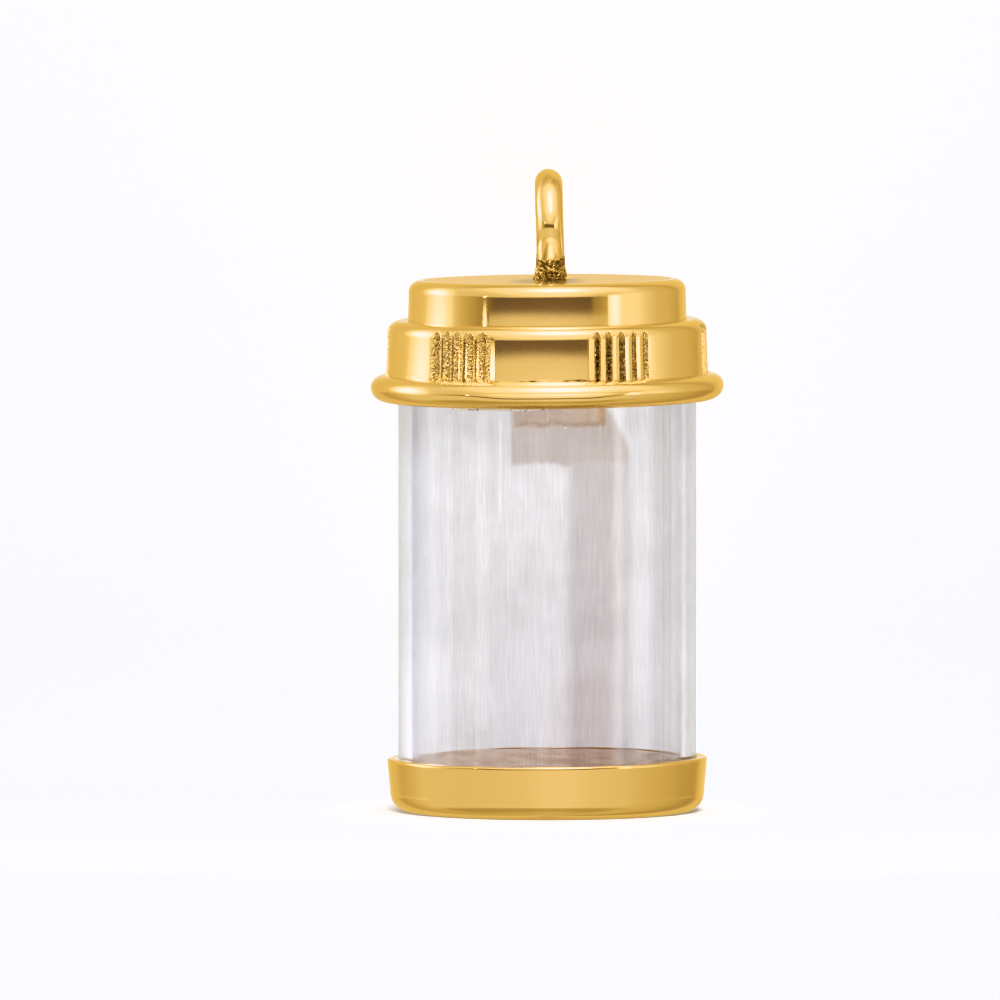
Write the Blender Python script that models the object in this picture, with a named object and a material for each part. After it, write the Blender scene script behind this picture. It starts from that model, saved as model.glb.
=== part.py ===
"""Bottle pendant: a clear glass tube held between a stepped gold cap and a shallow gold base cup.

The cap is one piece of soldered metal: a plain crown tier, a fluted tier with six groups of V
grooves, a rolled flange that grips the top of the glass, and a jump ring soldered upright on top.
It is hollow, so the inside of the bottle runs on up into it. The glass is a tube open at both
ends, cemented into the seat under the flange and into the base cup.

Frame: metres, +Z up the bottle's axis, origin at the centre of the base's underside.
The front is -Y and +X is to the right of it. The ring's hole looks along X.
"""

import math

import bmesh
import bpy
from mathutils import Matrix, Vector

MM = 0.001

# Glass tube
GLASS_RADIUS = 4.72 * MM
GLASS_WALL = 0.44 * MM
GLASS_SHOWING = 11.27 * MM  # from the base cup's rim to the underside of the flange

# Room for the cement, between the glass and the metal round it and behind its ends
CEMENT_GAP = 0.06 * MM

# Base cup
CUP_HEIGHT = 1.72 * MM
CUP_RIM_WALL = 0.29 * MM
CUP_DRAW_IN = 0.10 * MM  # how much narrower the cup's wall is at its foot than at its rim
CUP_FOOT_FILLET = 0.58 * MM
CUP_RIM_FILLET = 0.07 * MM
CUP_FLOOR = 0.58 * MM

# Rolled flange at the cap's mouth
FLANGE_HEIGHT = 0.85 * MM
FLANGE_OVERHANG = 0.50 * MM  # how far the roll stands out from the foot of the fluted tier
SEAT_LEDGE = 0.15 * MM  # metal between the seat's end and the top of the flange

# Fluted tier
FLUTED_HEIGHT = 1.71 * MM
FLUTED_FOOT_WALL = 0.31 * MM  # metal outside the glass seat's radius, at the tier's foot
FLUTED_DRAW_IN = 0.07 * MM  # how much narrower the tier is under its shoulder
FLUTED_SHOULDER = 0.32 * MM
GROOVE_GROUPS = 6
GROOVES_IN_GROUP = 5
GROOVE_PITCH_DEG = 4.95
GROOVE_DEPTH = 0.20 * MM
GROUP_TURN_DEG = 28.1  # from the front to the middle of the first group, towards +X

# Crown tier
CROWN_HEIGHT = 1.32 * MM
CROWN_SET_BACK = 0.61 * MM  # from the fluted tier's wall in to the crown's
CROWN_SHOULDER = 0.43 * MM
CAP_WALL = 0.58 * MM  # thickness of the crown's wall and of the cap's two ceilings

# Jump ring and its solder
RING_RADIUS = 1.82 * MM  # outside
RING_WIRE = 0.89 * MM
RING_SINK = 0.20 * MM  # how far the ring's foot is let into the crown
RING_LEAN_DEG = -1.5  # the ring was soldered on leaning a little to the left
RING_OFFSET = 0.08 * MM  # and a little to the right of the axis
SOLDER_HEIGHT = 0.32 * MM
SOLDER_TOP_ROOM = 0.02 * MM  # solder outside the wire where the fillet starts
SOLDER_FLARE = 0.28 * MM  # how far the fillet spreads from its top to the crown
# Sections of the solder: (share of its height above the crown, share of its flare)
SOLDER_SECTIONS = ((1.0, 0.0), (0.6, 0.06), (0.3, 0.26), (0.1, 0.62), (-0.3, 1.0))

# Finishes
GOLD_COLOUR = (0.86, 0.60, 0.24)
GOLD_ROUGHNESS = 0.16
GLASS_COLOUR = (0.97, 0.98, 0.98)
GLASS_ROUGHNESS = 0.02

# Fineness of the faceted solids
PLAIN_STEPS = 6  # columns across the plain panel between two groups of grooves
FILLET_STEPS = 5
RIM_STEPS = 2
ROLL_STEPS = 8
RING_STEPS = 44
WIRE_SIDES = 14
SOLDER_SIDES = 28
SHARP_ANGLE_DEG = 30

# Radii that follow from the sizes above
SEAT_RADIUS = GLASS_RADIUS + CEMENT_GAP
GLASS_BORE = GLASS_RADIUS - GLASS_WALL
CUP_RIM_RADIUS = SEAT_RADIUS + CUP_RIM_WALL
CUP_FOOT_RADIUS = CUP_RIM_RADIUS - CUP_DRAW_IN
FLUTED_FOOT_RADIUS = SEAT_RADIUS + FLUTED_FOOT_WALL
FLUTED_RADIUS = FLUTED_FOOT_RADIUS - FLUTED_DRAW_IN
CROWN_RADIUS = FLUTED_RADIUS - CROWN_SET_BACK
CROWN_BORE = CROWN_RADIUS - CAP_WALL

# Heights that follow from the sizes above
FLANGE_BOTTOM_Z = CUP_HEIGHT + GLASS_SHOWING
FLANGE_TOP_Z = FLANGE_BOTTOM_Z + FLANGE_HEIGHT
SEAT_TOP_Z = FLANGE_TOP_Z - SEAT_LEDGE
FLUTED_TOP_Z = FLANGE_TOP_Z + FLUTED_HEIGHT
CROWN_TOP_Z = FLUTED_TOP_Z + CROWN_HEIGHT
GLASS_BOTTOM_Z = CUP_FLOOR + CEMENT_GAP
GLASS_TOP_Z = SEAT_TOP_Z - CEMENT_GAP
RING_CENTRE_Z = CROWN_TOP_Z - RING_SINK + RING_RADIUS


def clear_scene():
    """Remove every object, so that the script can be run again in an open file."""
    for obj in list(bpy.data.objects):
        bpy.data.objects.remove(obj, do_unlink=True)


def make_material(name, colour, roughness, metallic, transmission=0.0):
    """Return a Principled material with the given colour and finish."""
    material = bpy.data.materials.new(name)
    material.use_nodes = True
    shader = material.node_tree.nodes["Principled BSDF"]
    shader.inputs["Base Color"].default_value = (*colour, 1.0)
    shader.inputs["Roughness"].default_value = roughness
    shader.inputs["Metallic"].default_value = metallic
    shader.inputs["Transmission Weight"].default_value = transmission
    return material


def add_object(name, mesh_builder, material=None):
    """Turn a bmesh into a smooth-shaded object with its faces pointing out."""
    bmesh.ops.recalc_face_normals(mesh_builder, faces=mesh_builder.faces)
    mesh = bpy.data.meshes.new(name)
    mesh_builder.to_mesh(mesh)
    mesh_builder.free()
    mesh.shade_smooth()
    mesh.set_sharp_from_angle(angle=math.radians(SHARP_ANGLE_DEG))
    obj = bpy.data.objects.new(name, mesh)
    if material is not None:
        mesh.materials.append(material)
    bpy.context.scene.collection.objects.link(obj)
    return obj


def groove_columns():
    """Return (angle, depth share) round the axis: 1 in a groove's valley, 0 on its crests.

    All the turned pieces use the same columns, so their facets stay parallel and the gaps between
    them even.
    """
    sector = 2 * math.pi / GROOVE_GROUPS
    half_pitch = math.radians(GROOVE_PITCH_DEG) / 2
    half_group = GROOVES_IN_GROUP * half_pitch
    plain_step = (sector - 2 * half_group) / PLAIN_STEPS
    columns = []
    for group in range(GROOVE_GROUPS):
        start = math.radians(GROUP_TURN_DEG) + group * sector - half_group
        for step in range(2 * GROOVES_IN_GROUP):
            columns.append((start + step * half_pitch, step % 2))
        for step in range(PLAIN_STEPS):
            columns.append((start + 2 * half_group + step * plain_step, 0))
    return columns


def arc(centre_r, centre_z, across, up, start_deg, end_deg, steps):
    """Return steps + 1 points (radius, z) of an ellipse's arc, 0 degrees being straight out."""
    points = []
    for step in range(steps + 1):
        angle = math.radians(start_deg + (end_deg - start_deg) * step / steps)
        points.append((centre_r + across * math.cos(angle), centre_z + up * math.sin(angle)))
    return points


def shoulder(wall_radius, top_z, fillet):
    """Return the rounded edge between a flat top and the wall below it, from the top down."""
    return arc(wall_radius - fillet, top_z - fillet, fillet, fillet, 90, 0, FILLET_STEPS)


def turned(profile, columns, fluted_rings=(), wall_radius_at=None, closed_loop=False):
    """Turn a profile of (radius, z) round the axis, cutting V grooves into its fluted rings.

    Without closed_loop the first and the last ring are filled, which closes the body.
    """
    builder = bmesh.new()
    rings = []
    for index, (radius, z) in enumerate(profile):
        ring = []
        for angle, share in columns:
            reach = radius
            if index in fluted_rings:
                reach = min(radius, wall_radius_at(z) - GROOVE_DEPTH * share)
            ring.append(builder.verts.new((reach * math.sin(angle), -reach * math.cos(angle), z)))
        rings.append(ring)
    pairs = list(zip(rings, rings[1:]))
    if closed_loop:
        pairs.append((rings[-1], rings[0]))
    for ring, following in pairs:
        for column, vertex in enumerate(ring):
            beside = (column + 1) % len(ring)
            builder.faces.new((vertex, ring[beside], following[beside], following[column]))
    if not closed_loop:
        builder.faces.new(rings[0])
        builder.faces.new(rings[-1])
    return builder


def fluted_wall_radius(z):
    """Return the uncut radius of the fluted tier at a height: it widens towards its foot."""
    share = (FLUTED_TOP_Z - z) / FLUTED_HEIGHT
    return FLUTED_RADIUS + FLUTED_DRAW_IN * share


def cap_body_mesh():
    """The cap without its ring: crown, fluted tier, flange, glass seat and the hollow inside."""
    crown = shoulder(CROWN_RADIUS, CROWN_TOP_Z, CROWN_SHOULDER)
    crown.append((CROWN_RADIUS, FLUTED_TOP_Z))
    wall_under_shoulder = fluted_wall_radius(FLUTED_TOP_Z - FLUTED_SHOULDER)
    fluted = shoulder(wall_under_shoulder, FLUTED_TOP_Z, FLUTED_SHOULDER)
    fluted.append((FLUTED_FOOT_RADIUS, FLANGE_TOP_Z))
    roll = arc(
        FLUTED_FOOT_RADIUS,
        FLANGE_BOTTOM_Z + FLANGE_HEIGHT / 2,
        FLANGE_OVERHANG,
        FLANGE_HEIGHT / 2,
        90,
        -90,
        ROLL_STEPS,
    )
    inside = [
        (SEAT_RADIUS, FLANGE_BOTTOM_Z),
        (SEAT_RADIUS, SEAT_TOP_Z),
        (GLASS_BORE, SEAT_TOP_Z),
        (GLASS_BORE, FLUTED_TOP_Z - CAP_WALL),
        (CROWN_BORE, FLUTED_TOP_Z - CAP_WALL),
        (CROWN_BORE, CROWN_TOP_Z - CAP_WALL),
    ]
    fluted_rings = range(len(crown), len(crown) + len(fluted))
    profile = crown + fluted + roll[1:] + inside
    return turned(profile, groove_columns(), fluted_rings, fluted_wall_radius)


def ring_mesh():
    """The jump ring: round wire bent to a circle in the YZ plane, about the origin."""
    wire = RING_WIRE / 2
    middle = RING_RADIUS - wire
    builder = bmesh.new()
    loops = []
    for step in range(RING_STEPS):
        around = 2 * math.pi * step / RING_STEPS
        outward = Vector((0, math.cos(around), math.sin(around)))
        loop = []
        for side in range(WIRE_SIDES):
            turn = 2 * math.pi * side / WIRE_SIDES
            reach = outward * (middle + wire * math.cos(turn))
            loop.append(builder.verts.new(reach + Vector((wire * math.sin(turn), 0, 0))))
        loops.append(loop)
    for step, loop in enumerate(loops):
        following = loops[(step + 1) % RING_STEPS]
        for side in range(WIRE_SIDES):
            beside = (side + 1) % WIRE_SIDES
            builder.faces.new((loop[side], loop[beside], following[beside], following[side]))
    return builder


def solder_mesh():
    """The solder at the ring's foot: an oval fillet that spreads onto the crown."""
    wire = RING_WIRE / 2
    below_centre = RING_RADIUS - RING_SINK - SOLDER_HEIGHT
    foot_length = math.sqrt(RING_RADIUS**2 - below_centre**2)
    builder = bmesh.new()
    rings = []
    for height_share, flare_share in SOLDER_SECTIONS:
        spread = SOLDER_TOP_ROOM + SOLDER_FLARE * flare_share
        z = CROWN_TOP_Z + SOLDER_HEIGHT * height_share
        ring = []
        for side in range(SOLDER_SIDES):
            angle = 2 * math.pi * side / SOLDER_SIDES
            x = (wire + spread) * math.cos(angle)
            y = (foot_length + spread) * math.sin(angle)
            ring.append(builder.verts.new((x, y, z)))
        rings.append(ring)
    for ring, following in zip(rings, rings[1:]):
        for side in range(SOLDER_SIDES):
            beside = (side + 1) % SOLDER_SIDES
            builder.faces.new((ring[side], ring[beside], following[beside], following[side]))
    builder.faces.new(rings[0])
    builder.faces.new(rings[-1])
    return builder


def add_former(name, mesh_builder, target):
    """Join a shape to the target by a union, keeping it as a wire guide that isn't a piece."""
    former = add_object(name, mesh_builder)
    former.hide_render = True
    former.display_type = "WIRE"
    union = target.modifiers.new(name, "BOOLEAN")
    union.operation = "UNION"
    union.object = former
    return former


def build_cap(gold):
    """The cap with its jump ring soldered on: one solid."""
    cap = add_object("cap", cap_body_mesh(), gold)
    ring = add_former("ring_former", ring_mesh(), cap)
    lean = Matrix.Rotation(math.radians(RING_LEAN_DEG), 4, "Y")
    ring.matrix_world = Matrix.Translation((RING_OFFSET, 0, RING_CENTRE_Z)) @ lean
    solder = add_former("solder_former", solder_mesh(), cap)
    solder.matrix_world = Matrix.Translation((RING_OFFSET, 0, 0))
    return cap


def build_glass_tube(glass):
    """The glass tube, open at both ends."""
    profile = [
        (GLASS_RADIUS, GLASS_TOP_Z),
        (GLASS_RADIUS, GLASS_BOTTOM_Z),
        (GLASS_BORE, GLASS_BOTTOM_Z),
        (GLASS_BORE, GLASS_TOP_Z),
    ]
    return add_object("glass_tube", turned(profile, groove_columns(), closed_loop=True), glass)


def build_base_cup(gold):
    """The shallow cup under the glass, rounded at its foot and lightly rounded at its rim."""
    foot = arc(
        CUP_FOOT_RADIUS - CUP_FOOT_FILLET,
        CUP_FOOT_FILLET,
        CUP_FOOT_FILLET,
        CUP_FOOT_FILLET,
        -90,
        0,
        FILLET_STEPS,
    )
    rim = arc(
        CUP_RIM_RADIUS - CUP_RIM_FILLET,
        CUP_HEIGHT - CUP_RIM_FILLET,
        CUP_RIM_FILLET,
        CUP_RIM_FILLET,
        0,
        90,
        RIM_STEPS,
    )
    inside = [(SEAT_RADIUS, CUP_HEIGHT), (SEAT_RADIUS, CUP_FLOOR)]
    return add_object("base_cup", turned(foot + rim + inside, groove_columns()), gold)


def main():
    """Build the pendant."""
    clear_scene()
    gold = make_material("yellow_gold", GOLD_COLOUR, GOLD_ROUGHNESS, 1.0)
    glass = make_material("clear_glass", GLASS_COLOUR, GLASS_ROUGHNESS, 0.0, 1.0)
    build_cap(gold)
    build_glass_tube(glass)
    build_base_cup(gold)


main()
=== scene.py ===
"""Looks of the bottle pendant: polished gold, cast flutes, clear glass, cement and a soft studio.

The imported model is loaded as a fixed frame. Every piece here is built in the frame's own metres,
rides on the one body, and stands for a node of the frame where it covers the same metal or glass.

The front is -Y and +X is to the right of it. Angles round the bottle's axis are measured from
the front towards +X.
"""

from __future__ import annotations

import logging
import math
from dataclasses import dataclass, replace
from enum import Enum

import bpy
import numpy as np
from mathutils import Matrix, Vector, noise

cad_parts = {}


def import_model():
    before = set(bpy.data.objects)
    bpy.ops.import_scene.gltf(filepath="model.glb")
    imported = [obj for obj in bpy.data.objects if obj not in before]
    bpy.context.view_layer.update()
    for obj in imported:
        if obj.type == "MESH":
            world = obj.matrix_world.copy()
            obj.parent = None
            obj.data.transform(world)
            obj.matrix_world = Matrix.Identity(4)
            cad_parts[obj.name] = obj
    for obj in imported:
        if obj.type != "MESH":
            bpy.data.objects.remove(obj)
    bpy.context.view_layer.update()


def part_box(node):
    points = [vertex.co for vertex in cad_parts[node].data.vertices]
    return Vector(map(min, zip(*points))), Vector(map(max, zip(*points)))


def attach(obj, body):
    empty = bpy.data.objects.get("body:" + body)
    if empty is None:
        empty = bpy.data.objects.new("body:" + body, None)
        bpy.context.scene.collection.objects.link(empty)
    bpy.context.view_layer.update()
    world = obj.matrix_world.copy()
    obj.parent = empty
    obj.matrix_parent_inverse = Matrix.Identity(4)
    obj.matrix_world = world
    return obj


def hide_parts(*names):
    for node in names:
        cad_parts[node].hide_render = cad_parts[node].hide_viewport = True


MM = 0.001
TURN = 2 * math.pi
DEGREES = 180 / math.pi
PINHOLE = 0.05 * MM  # radius where a closed skin gives way to its fan of triangles
SUNK = 0.05 * MM  # how far a tier's foot reaches into the tier below it
SAME_POINT = 1e-7  # distance under which two points of a profile count as one
BODY = "root"
LOG = logging.getLogger("bottle_pendant")

Profile = list[tuple[float, float]]
Colour = tuple[float, float, float]
Socket = bpy.types.NodeSocket
Material = bpy.types.Material


class Slot(Enum):
    """The record's material slots."""

    GOLD = "gold"
    GLASS = "glass"


class Shading(Enum):
    """How a mesh's edges are shaded: the angle over which an edge stays sharp, in degrees."""

    SMOOTH = 80.0
    CREASED = 38.0


# Shapes: profiles, ripples and grids


def arc(centre: tuple[float, float], across: float, up: float, span: tuple[float, float],
        steps: int) -> Profile:
    """Return the points of an elliptical arc in the plane of radius and height.

    Args:
        centre: radius and height of the ellipse's centre.
        across: half axis along the radius.
        up: half axis along the height.
        span: start and end angle in degrees, 0 being straight out.
        steps: number of stretches.

    Returns:
        The steps + 1 points, from the start angle to the end angle.
    """
    angles = np.radians(np.linspace(span[0], span[1], steps + 1))
    return [(centre[0] + across * math.cos(a), centre[1] + up * math.sin(a)) for a in angles]


def line(start: tuple[float, float], end: tuple[float, float], steps: int) -> Profile:
    """Return steps + 1 evenly spaced points from start to end."""
    shares = np.linspace(0.0, 1.0, steps + 1)
    return [(start[0] + (end[0] - start[0]) * s, start[1] + (end[1] - start[1]) * s)
            for s in shares]


def joined(*stretches: Profile) -> np.ndarray:
    """Join stretches of a profile end to end, leaving out points that repeat the one before."""
    points: Profile = []
    for stretch in stretches:
        for point in stretch:
            if not points or math.dist(points[-1], point) > SAME_POINT:
                points.append(point)
    return np.array(points)


def leaning_wall(foot: tuple[float, float], top: float, leans: tuple[float, float],
                 steps: int) -> Profile:
    """Return the wall of a tier that leans in more towards its foot.

    Args:
        foot: radius and height of its foot.
        top: height of its upper end.
        leans: how far it leans in at the foot and at the upper end, in degrees.
        steps: number of stretches.

    Returns:
        The steps + 1 points, from the upper end to the foot.
    """
    step = (top - foot[1]) / steps
    points = [foot]
    for index in range(steps):
        share = (index + 0.5) / steps
        lean = math.radians(leans[0] + (leans[1] - leans[0]) * share)
        points.append((points[-1][0] - step * math.tan(lean), points[-1][1] + step))
    return points[::-1]


def once_round(count: int, start: float = 0.0) -> np.ndarray:
    """Return evenly spaced angles once round, as one row."""
    return np.linspace(start, start + TURN, count, endpoint=False)[None, :]


def signed_degrees(angle: np.ndarray) -> np.ndarray:
    """Return the angles in degrees, from -180 to 180."""
    return np.degrees((angle + math.pi) % TURN - math.pi)


def rising(amount: np.ndarray, width: float) -> np.ndarray:
    """Return 0 up to where the amount is 0, rising to 1 where it reaches the width."""
    return np.clip(amount / width, 0, 1)


def bell(distance: np.ndarray, width: float | np.ndarray) -> np.ndarray:
    """Return 1 where the distance is 0, falling to about a third at the width on both sides."""
    return np.exp(-((distance / width) ** 2))


@dataclass(frozen=True)
class Ripple:
    """Slow waviness left by hand work, the same on every run.

    Attributes:
        size: largest deviation, in metres.
        waves: how many times each of its waves goes round.
        drift: how far the waves shift along the height, in radians per metre.
        seed: which set of phases is drawn.
    """

    size: float
    waves: tuple[int, ...]
    drift: float
    seed: int

    def at(self, angle: np.ndarray, height: np.ndarray) -> np.ndarray:
        """Return the deviation at each angle and height, in metres."""
        draw = np.random.RandomState(self.seed)
        total = np.zeros(np.broadcast(angle, height).shape)
        for wave in self.waves:
            phase, lean, share = draw.uniform(0, TURN), draw.uniform(-1, 1), draw.uniform(0.5, 1)
            total = total + share * np.sin(wave * angle + phase + lean * self.drift * height)
        return self.size * total / len(self.waves)


@dataclass(frozen=True)
class Grain:
    """Rough grain, the same on every run.

    Attributes:
        cell: size of the largest grains, in metres.
        depth: how far the grains reach above and below the surface, about.
        octaves: how many sizes of grain are added up.
        fade: how fast the smaller sizes lose height.
        finer: how much smaller each size is than the one before.
    """

    cell: float
    depth: float
    octaves: int = 2
    fade: float = 0.9
    finer: float = 2.1

    def at(self, points: np.ndarray) -> np.ndarray:
        """Return the grain's height at each point of an array whose last axis is x, y, z."""
        flat = points.reshape(-1, 3) / self.cell
        values = [noise.fractal(Vector(p), self.fade, self.finer, self.octaves) for p in flat]
        return self.depth * np.array(values).reshape(points.shape[:-1])


def spun(radius: np.ndarray, height: np.ndarray, angle: np.ndarray) -> np.ndarray:
    """Return the points at these radii, heights and angles round the bottle's axis."""
    radius, height, angle = np.broadcast_arrays(radius, height, angle)
    return np.stack((radius * np.sin(angle), -radius * np.cos(angle), height), axis=-1)


def tilted(points: np.ndarray, slope: float) -> np.ndarray:
    """Return the points raised towards +X, as on a tier that was soldered on a little askew."""
    lifted = points.copy()
    lifted[..., 2] += slope * lifted[..., 0]
    return lifted


def away_from_axis(points: np.ndarray, weights: tuple[float, float, float] = (1.0, 1.0, 0.0)
                   ) -> np.ndarray:
    """Return unit vectors away from the bottle's axis, after weighting x, y and z."""
    away = points * np.array(weights)
    return away / np.maximum(np.linalg.norm(away, axis=-1, keepdims=True), 1e-9)


def linked(name: str, data: bpy.types.ID) -> bpy.types.Object:
    """Return a new object with this data, linked to the scene."""
    made = bpy.data.objects.new(name, data)
    bpy.context.scene.collection.objects.link(made)
    return made


@dataclass
class Grid:
    """A skin of quads over rows of points, each row a closed loop.

    Attributes:
        name: name of the object.
        points: array of rows, columns and x, y, z.
        loop: whether the last row joins the first, as in a torus.
        poles: whether fans close the first and the last row, when there is no loop.
    """

    name: str
    points: np.ndarray
    loop: bool = False
    poles: bool = False

    def faces(self) -> list[tuple[int, ...]]:
        """Return the skin's faces as tuples of vertex numbers."""
        rows, columns = self.points.shape[:2]
        made: list[tuple[int, ...]] = []
        for row in range(rows if self.loop else rows - 1):
            here, there = row * columns, ((row + 1) % rows) * columns
            for column in range(columns):
                beside = (column + 1) % columns
                made.append((here + column, here + beside, there + beside, there + column))
        if self.poles:
            first, last = rows * columns, rows * columns + 1
            start = (rows - 1) * columns
            for column in range(columns):
                beside = (column + 1) % columns
                made.append((first, beside, column))
                made.append((last, start + column, start + beside))
        return made

    def build(self, shading: Shading, **shares: np.ndarray) -> bpy.types.Object:
        """Make the object.

        Args:
            shading: how its edges are shaded.
            shares: values from 0 to 1 at each point, by attribute, such as cast, or tarnish and
                painted shade.

        Returns:
            The new object, linked to the scene.
        """
        vertices = self.points.reshape(-1, 3)
        if self.poles:
            ends = np.stack((self.points[0].mean(axis=0), self.points[-1].mean(axis=0)))
            vertices = np.concatenate((vertices, ends))
        mesh = bpy.data.meshes.new(self.name)
        mesh.from_pydata(vertices.tolist(), [], self.faces())
        mesh.validate()
        volume = sum(face_volume(mesh, polygon) for polygon in mesh.polygons)
        if volume < 0:
            mesh.flip_normals()
        mesh.shade_smooth()
        mesh.set_sharp_from_angle(angle=math.radians(shading.value))
        for attribute, values in shares.items():
            layer = mesh.attributes.new(attribute, "FLOAT", "POINT")
            padded = np.zeros(len(vertices))
            padded[: values.size] = values.reshape(-1)
            layer.data.foreach_set("value", padded)
        return linked(self.name, mesh)


def face_volume(mesh: bpy.types.Mesh, polygon: bpy.types.MeshPolygon) -> float:
    """Return a face's share of the volume that the mesh closes, positive where it faces out."""
    return polygon.center.dot(polygon.normal) * polygon.area


# Shader building


class Nodes:
    """A node tree with short calls that add nodes and wire them."""

    def __init__(self, tree: bpy.types.NodeTree) -> None:
        """Keep the tree and clear it."""
        self.tree = tree
        tree.nodes.clear()

    def add(self, kind: str, **settings: object) -> bpy.types.Node:
        """Add a node of a kind and set its properties."""
        node = self.tree.nodes.new(kind)
        for key, value in settings.items():
            setattr(node, key, value)
        return node

    def wire(self, source: object, target: Socket) -> None:
        """Feed a socket from another socket, or set it to a plain value."""
        if isinstance(source, Socket):
            self.tree.links.new(source, target)
        else:
            target.default_value = source

    def feed(self, node: bpy.types.Node, **values: object) -> bpy.types.Node:
        """Feed or set inputs of a node, named with _ for each space, and return the node."""
        for key, value in values.items():
            self.wire(value, node.inputs[key.replace("_", " ")])
        return node

    def math(self, operation: str, *values: object) -> Socket:
        """Add a Math node on sockets or numbers and return its result."""
        node = self.add(self.tree.bl_idname.replace("Tree", "Math"), operation=operation)
        for socket, value in zip(node.inputs, values):
            self.wire(value, socket)
        return node.outputs[0]

    def times(self, product: object, *factors: object) -> Socket:
        """Return the product of sockets and numbers."""
        for factor in factors:
            product = self.math("MULTIPLY", product, factor)
        return product

    def rest(self, share: object) -> Socket:
        """Return what a share leaves of the whole."""
        return self.math("SUBTRACT", 1.0, share)

    def squared(self, value: object, width: float) -> Socket:
        """Return the square of the value over the width."""
        return self.math("POWER", self.math("DIVIDE", value, width), 2.0)

    def fading(self, amount: Socket) -> Socket:
        """Return 1 where the amount is 0, fading as it grows."""
        return self.math("EXPONENT", self.math("MULTIPLY", amount, -1.0))

    def ramp(self, value: object, low: object, high: object,
             result: tuple[float, float] = (0.0, 1.0)) -> Socket:
        """Return a smooth step from result[0] to result[1] as value goes from low to high."""
        node = self.add("ShaderNodeMapRange", interpolation_type="SMOOTHSTEP")
        self.feed(node, Value=value, From_Min=low, From_Max=high, To_Min=result[0],
                  To_Max=result[1])
        return node.outputs["Result"]

    def noise(self, where: Socket, scale: object, detail: float, roughness: float) -> Socket:
        """Return a noise texture's value."""
        node = self.add("ShaderNodeTexNoise")
        self.feed(node, Vector=where, Scale=scale, Detail=detail, Roughness=roughness)
        return node.outputs["Fac"]

    def cells(self, where: Socket, scale: object, feature: str) -> bpy.types.Node:
        """Return a cell texture's node."""
        node = self.add("ShaderNodeTexVoronoi", feature=feature)
        return self.feed(node, Vector=where, Scale=scale)

    def stretched(self, where: Socket, factor: float) -> Socket:
        """Return the place with its height multiplied by the factor."""
        node = self.add("ShaderNodeMapping", vector_type="POINT")
        return self.feed(node, Vector=where, Scale=(1.0, 1.0, factor)).outputs["Vector"]

    def split(self, vector: Socket) -> tuple[Socket, ...]:
        """Return the vector's x, y and z."""
        return tuple(self.feed(self.add("ShaderNodeSeparateXYZ"), Vector=vector).outputs)

    def attribute(self, name: str) -> Socket:
        """Return a share that the mesh keeps at its points."""
        return self.add("ShaderNodeAttribute", attribute_name=name).outputs["Fac"]

    def mix(self, share: object, first: object, second: object) -> Socket:
        """Return a colour between first and second."""
        node = self.add("ShaderNodeMix", data_type="RGBA", clamp_factor=True)
        self.wire(share, node.inputs["Factor"])
        self.wire(first, node.inputs[6])
        self.wire(second, node.inputs[7])
        return node.outputs[2]

    def tinted(self, tone: Socket, factor: object) -> Socket:
        """Return the tone multiplied by a colour or a socket."""
        node = self.add("ShaderNodeVectorMath", operation="MULTIPLY")
        self.wire(tone, node.inputs[0])
        self.wire(factor, node.inputs[1])
        return node.outputs["Vector"]

    def bump(self, height: Socket, depth: float, over: Socket | None = None) -> Socket:
        """Return the normal of a relief of this depth, laid over another normal or none."""
        node = self.feed(self.add("ShaderNodeBump"), Distance=depth, Height=height)
        if over is not None:
            self.feed(node, Normal=over)
        return node.outputs["Normal"]

    def blend(self, share: Socket, first: Socket, second: Socket) -> Socket:
        """Return a shader between first and second."""
        node = self.feed(self.add("ShaderNodeMixShader"), Fac=share)
        self.wire(first, node.inputs[1])
        self.wire(second, node.inputs[2])
        return node.outputs["Shader"]

    def group(self, tree: bpy.types.NodeTree, **values: object) -> bpy.types.Node:
        """Place a node group and set or feed its inputs."""
        return self.feed(self.add("ShaderNodeGroup", node_tree=tree), **values)

    def show(self, surface: Socket, owner: str = "Material") -> None:
        """Feed the surface to the output of the tree's owner, a Material or a World."""
        self.feed(self.add(f"ShaderNodeOutput{owner}"), Surface=surface)


def new_material(name: str) -> tuple[Material, Nodes, bpy.types.Node]:
    """Return a new material, its nodes and its Principled shader."""
    material = bpy.data.materials.new(name)
    material.use_nodes = True
    nodes = Nodes(material.node_tree)
    return material, nodes, nodes.add("ShaderNodeBsdfPrincipled")


def new_group(name: str, inputs: dict[str, str], outputs: dict[str, str]
              ) -> tuple[Nodes, bpy.types.Node, bpy.types.Node]:
    """Start a shader node group.

    Args:
        name: name of the group.
        inputs: socket kinds by input name.
        outputs: socket kinds by output name.

    Returns:
        The group's nodes, its input node and its output node.
    """
    tree = bpy.data.node_groups.new(name, "ShaderNodeTree")
    for way, sockets in (("INPUT", inputs), ("OUTPUT", outputs)):
        for key, kind in sockets.items():
            tree.interface.new_socket(name=key, in_out=way, socket_type=kind)
    nodes = Nodes(tree)
    return nodes, nodes.add("NodeGroupInput"), nodes.add("NodeGroupOutput")


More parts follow.
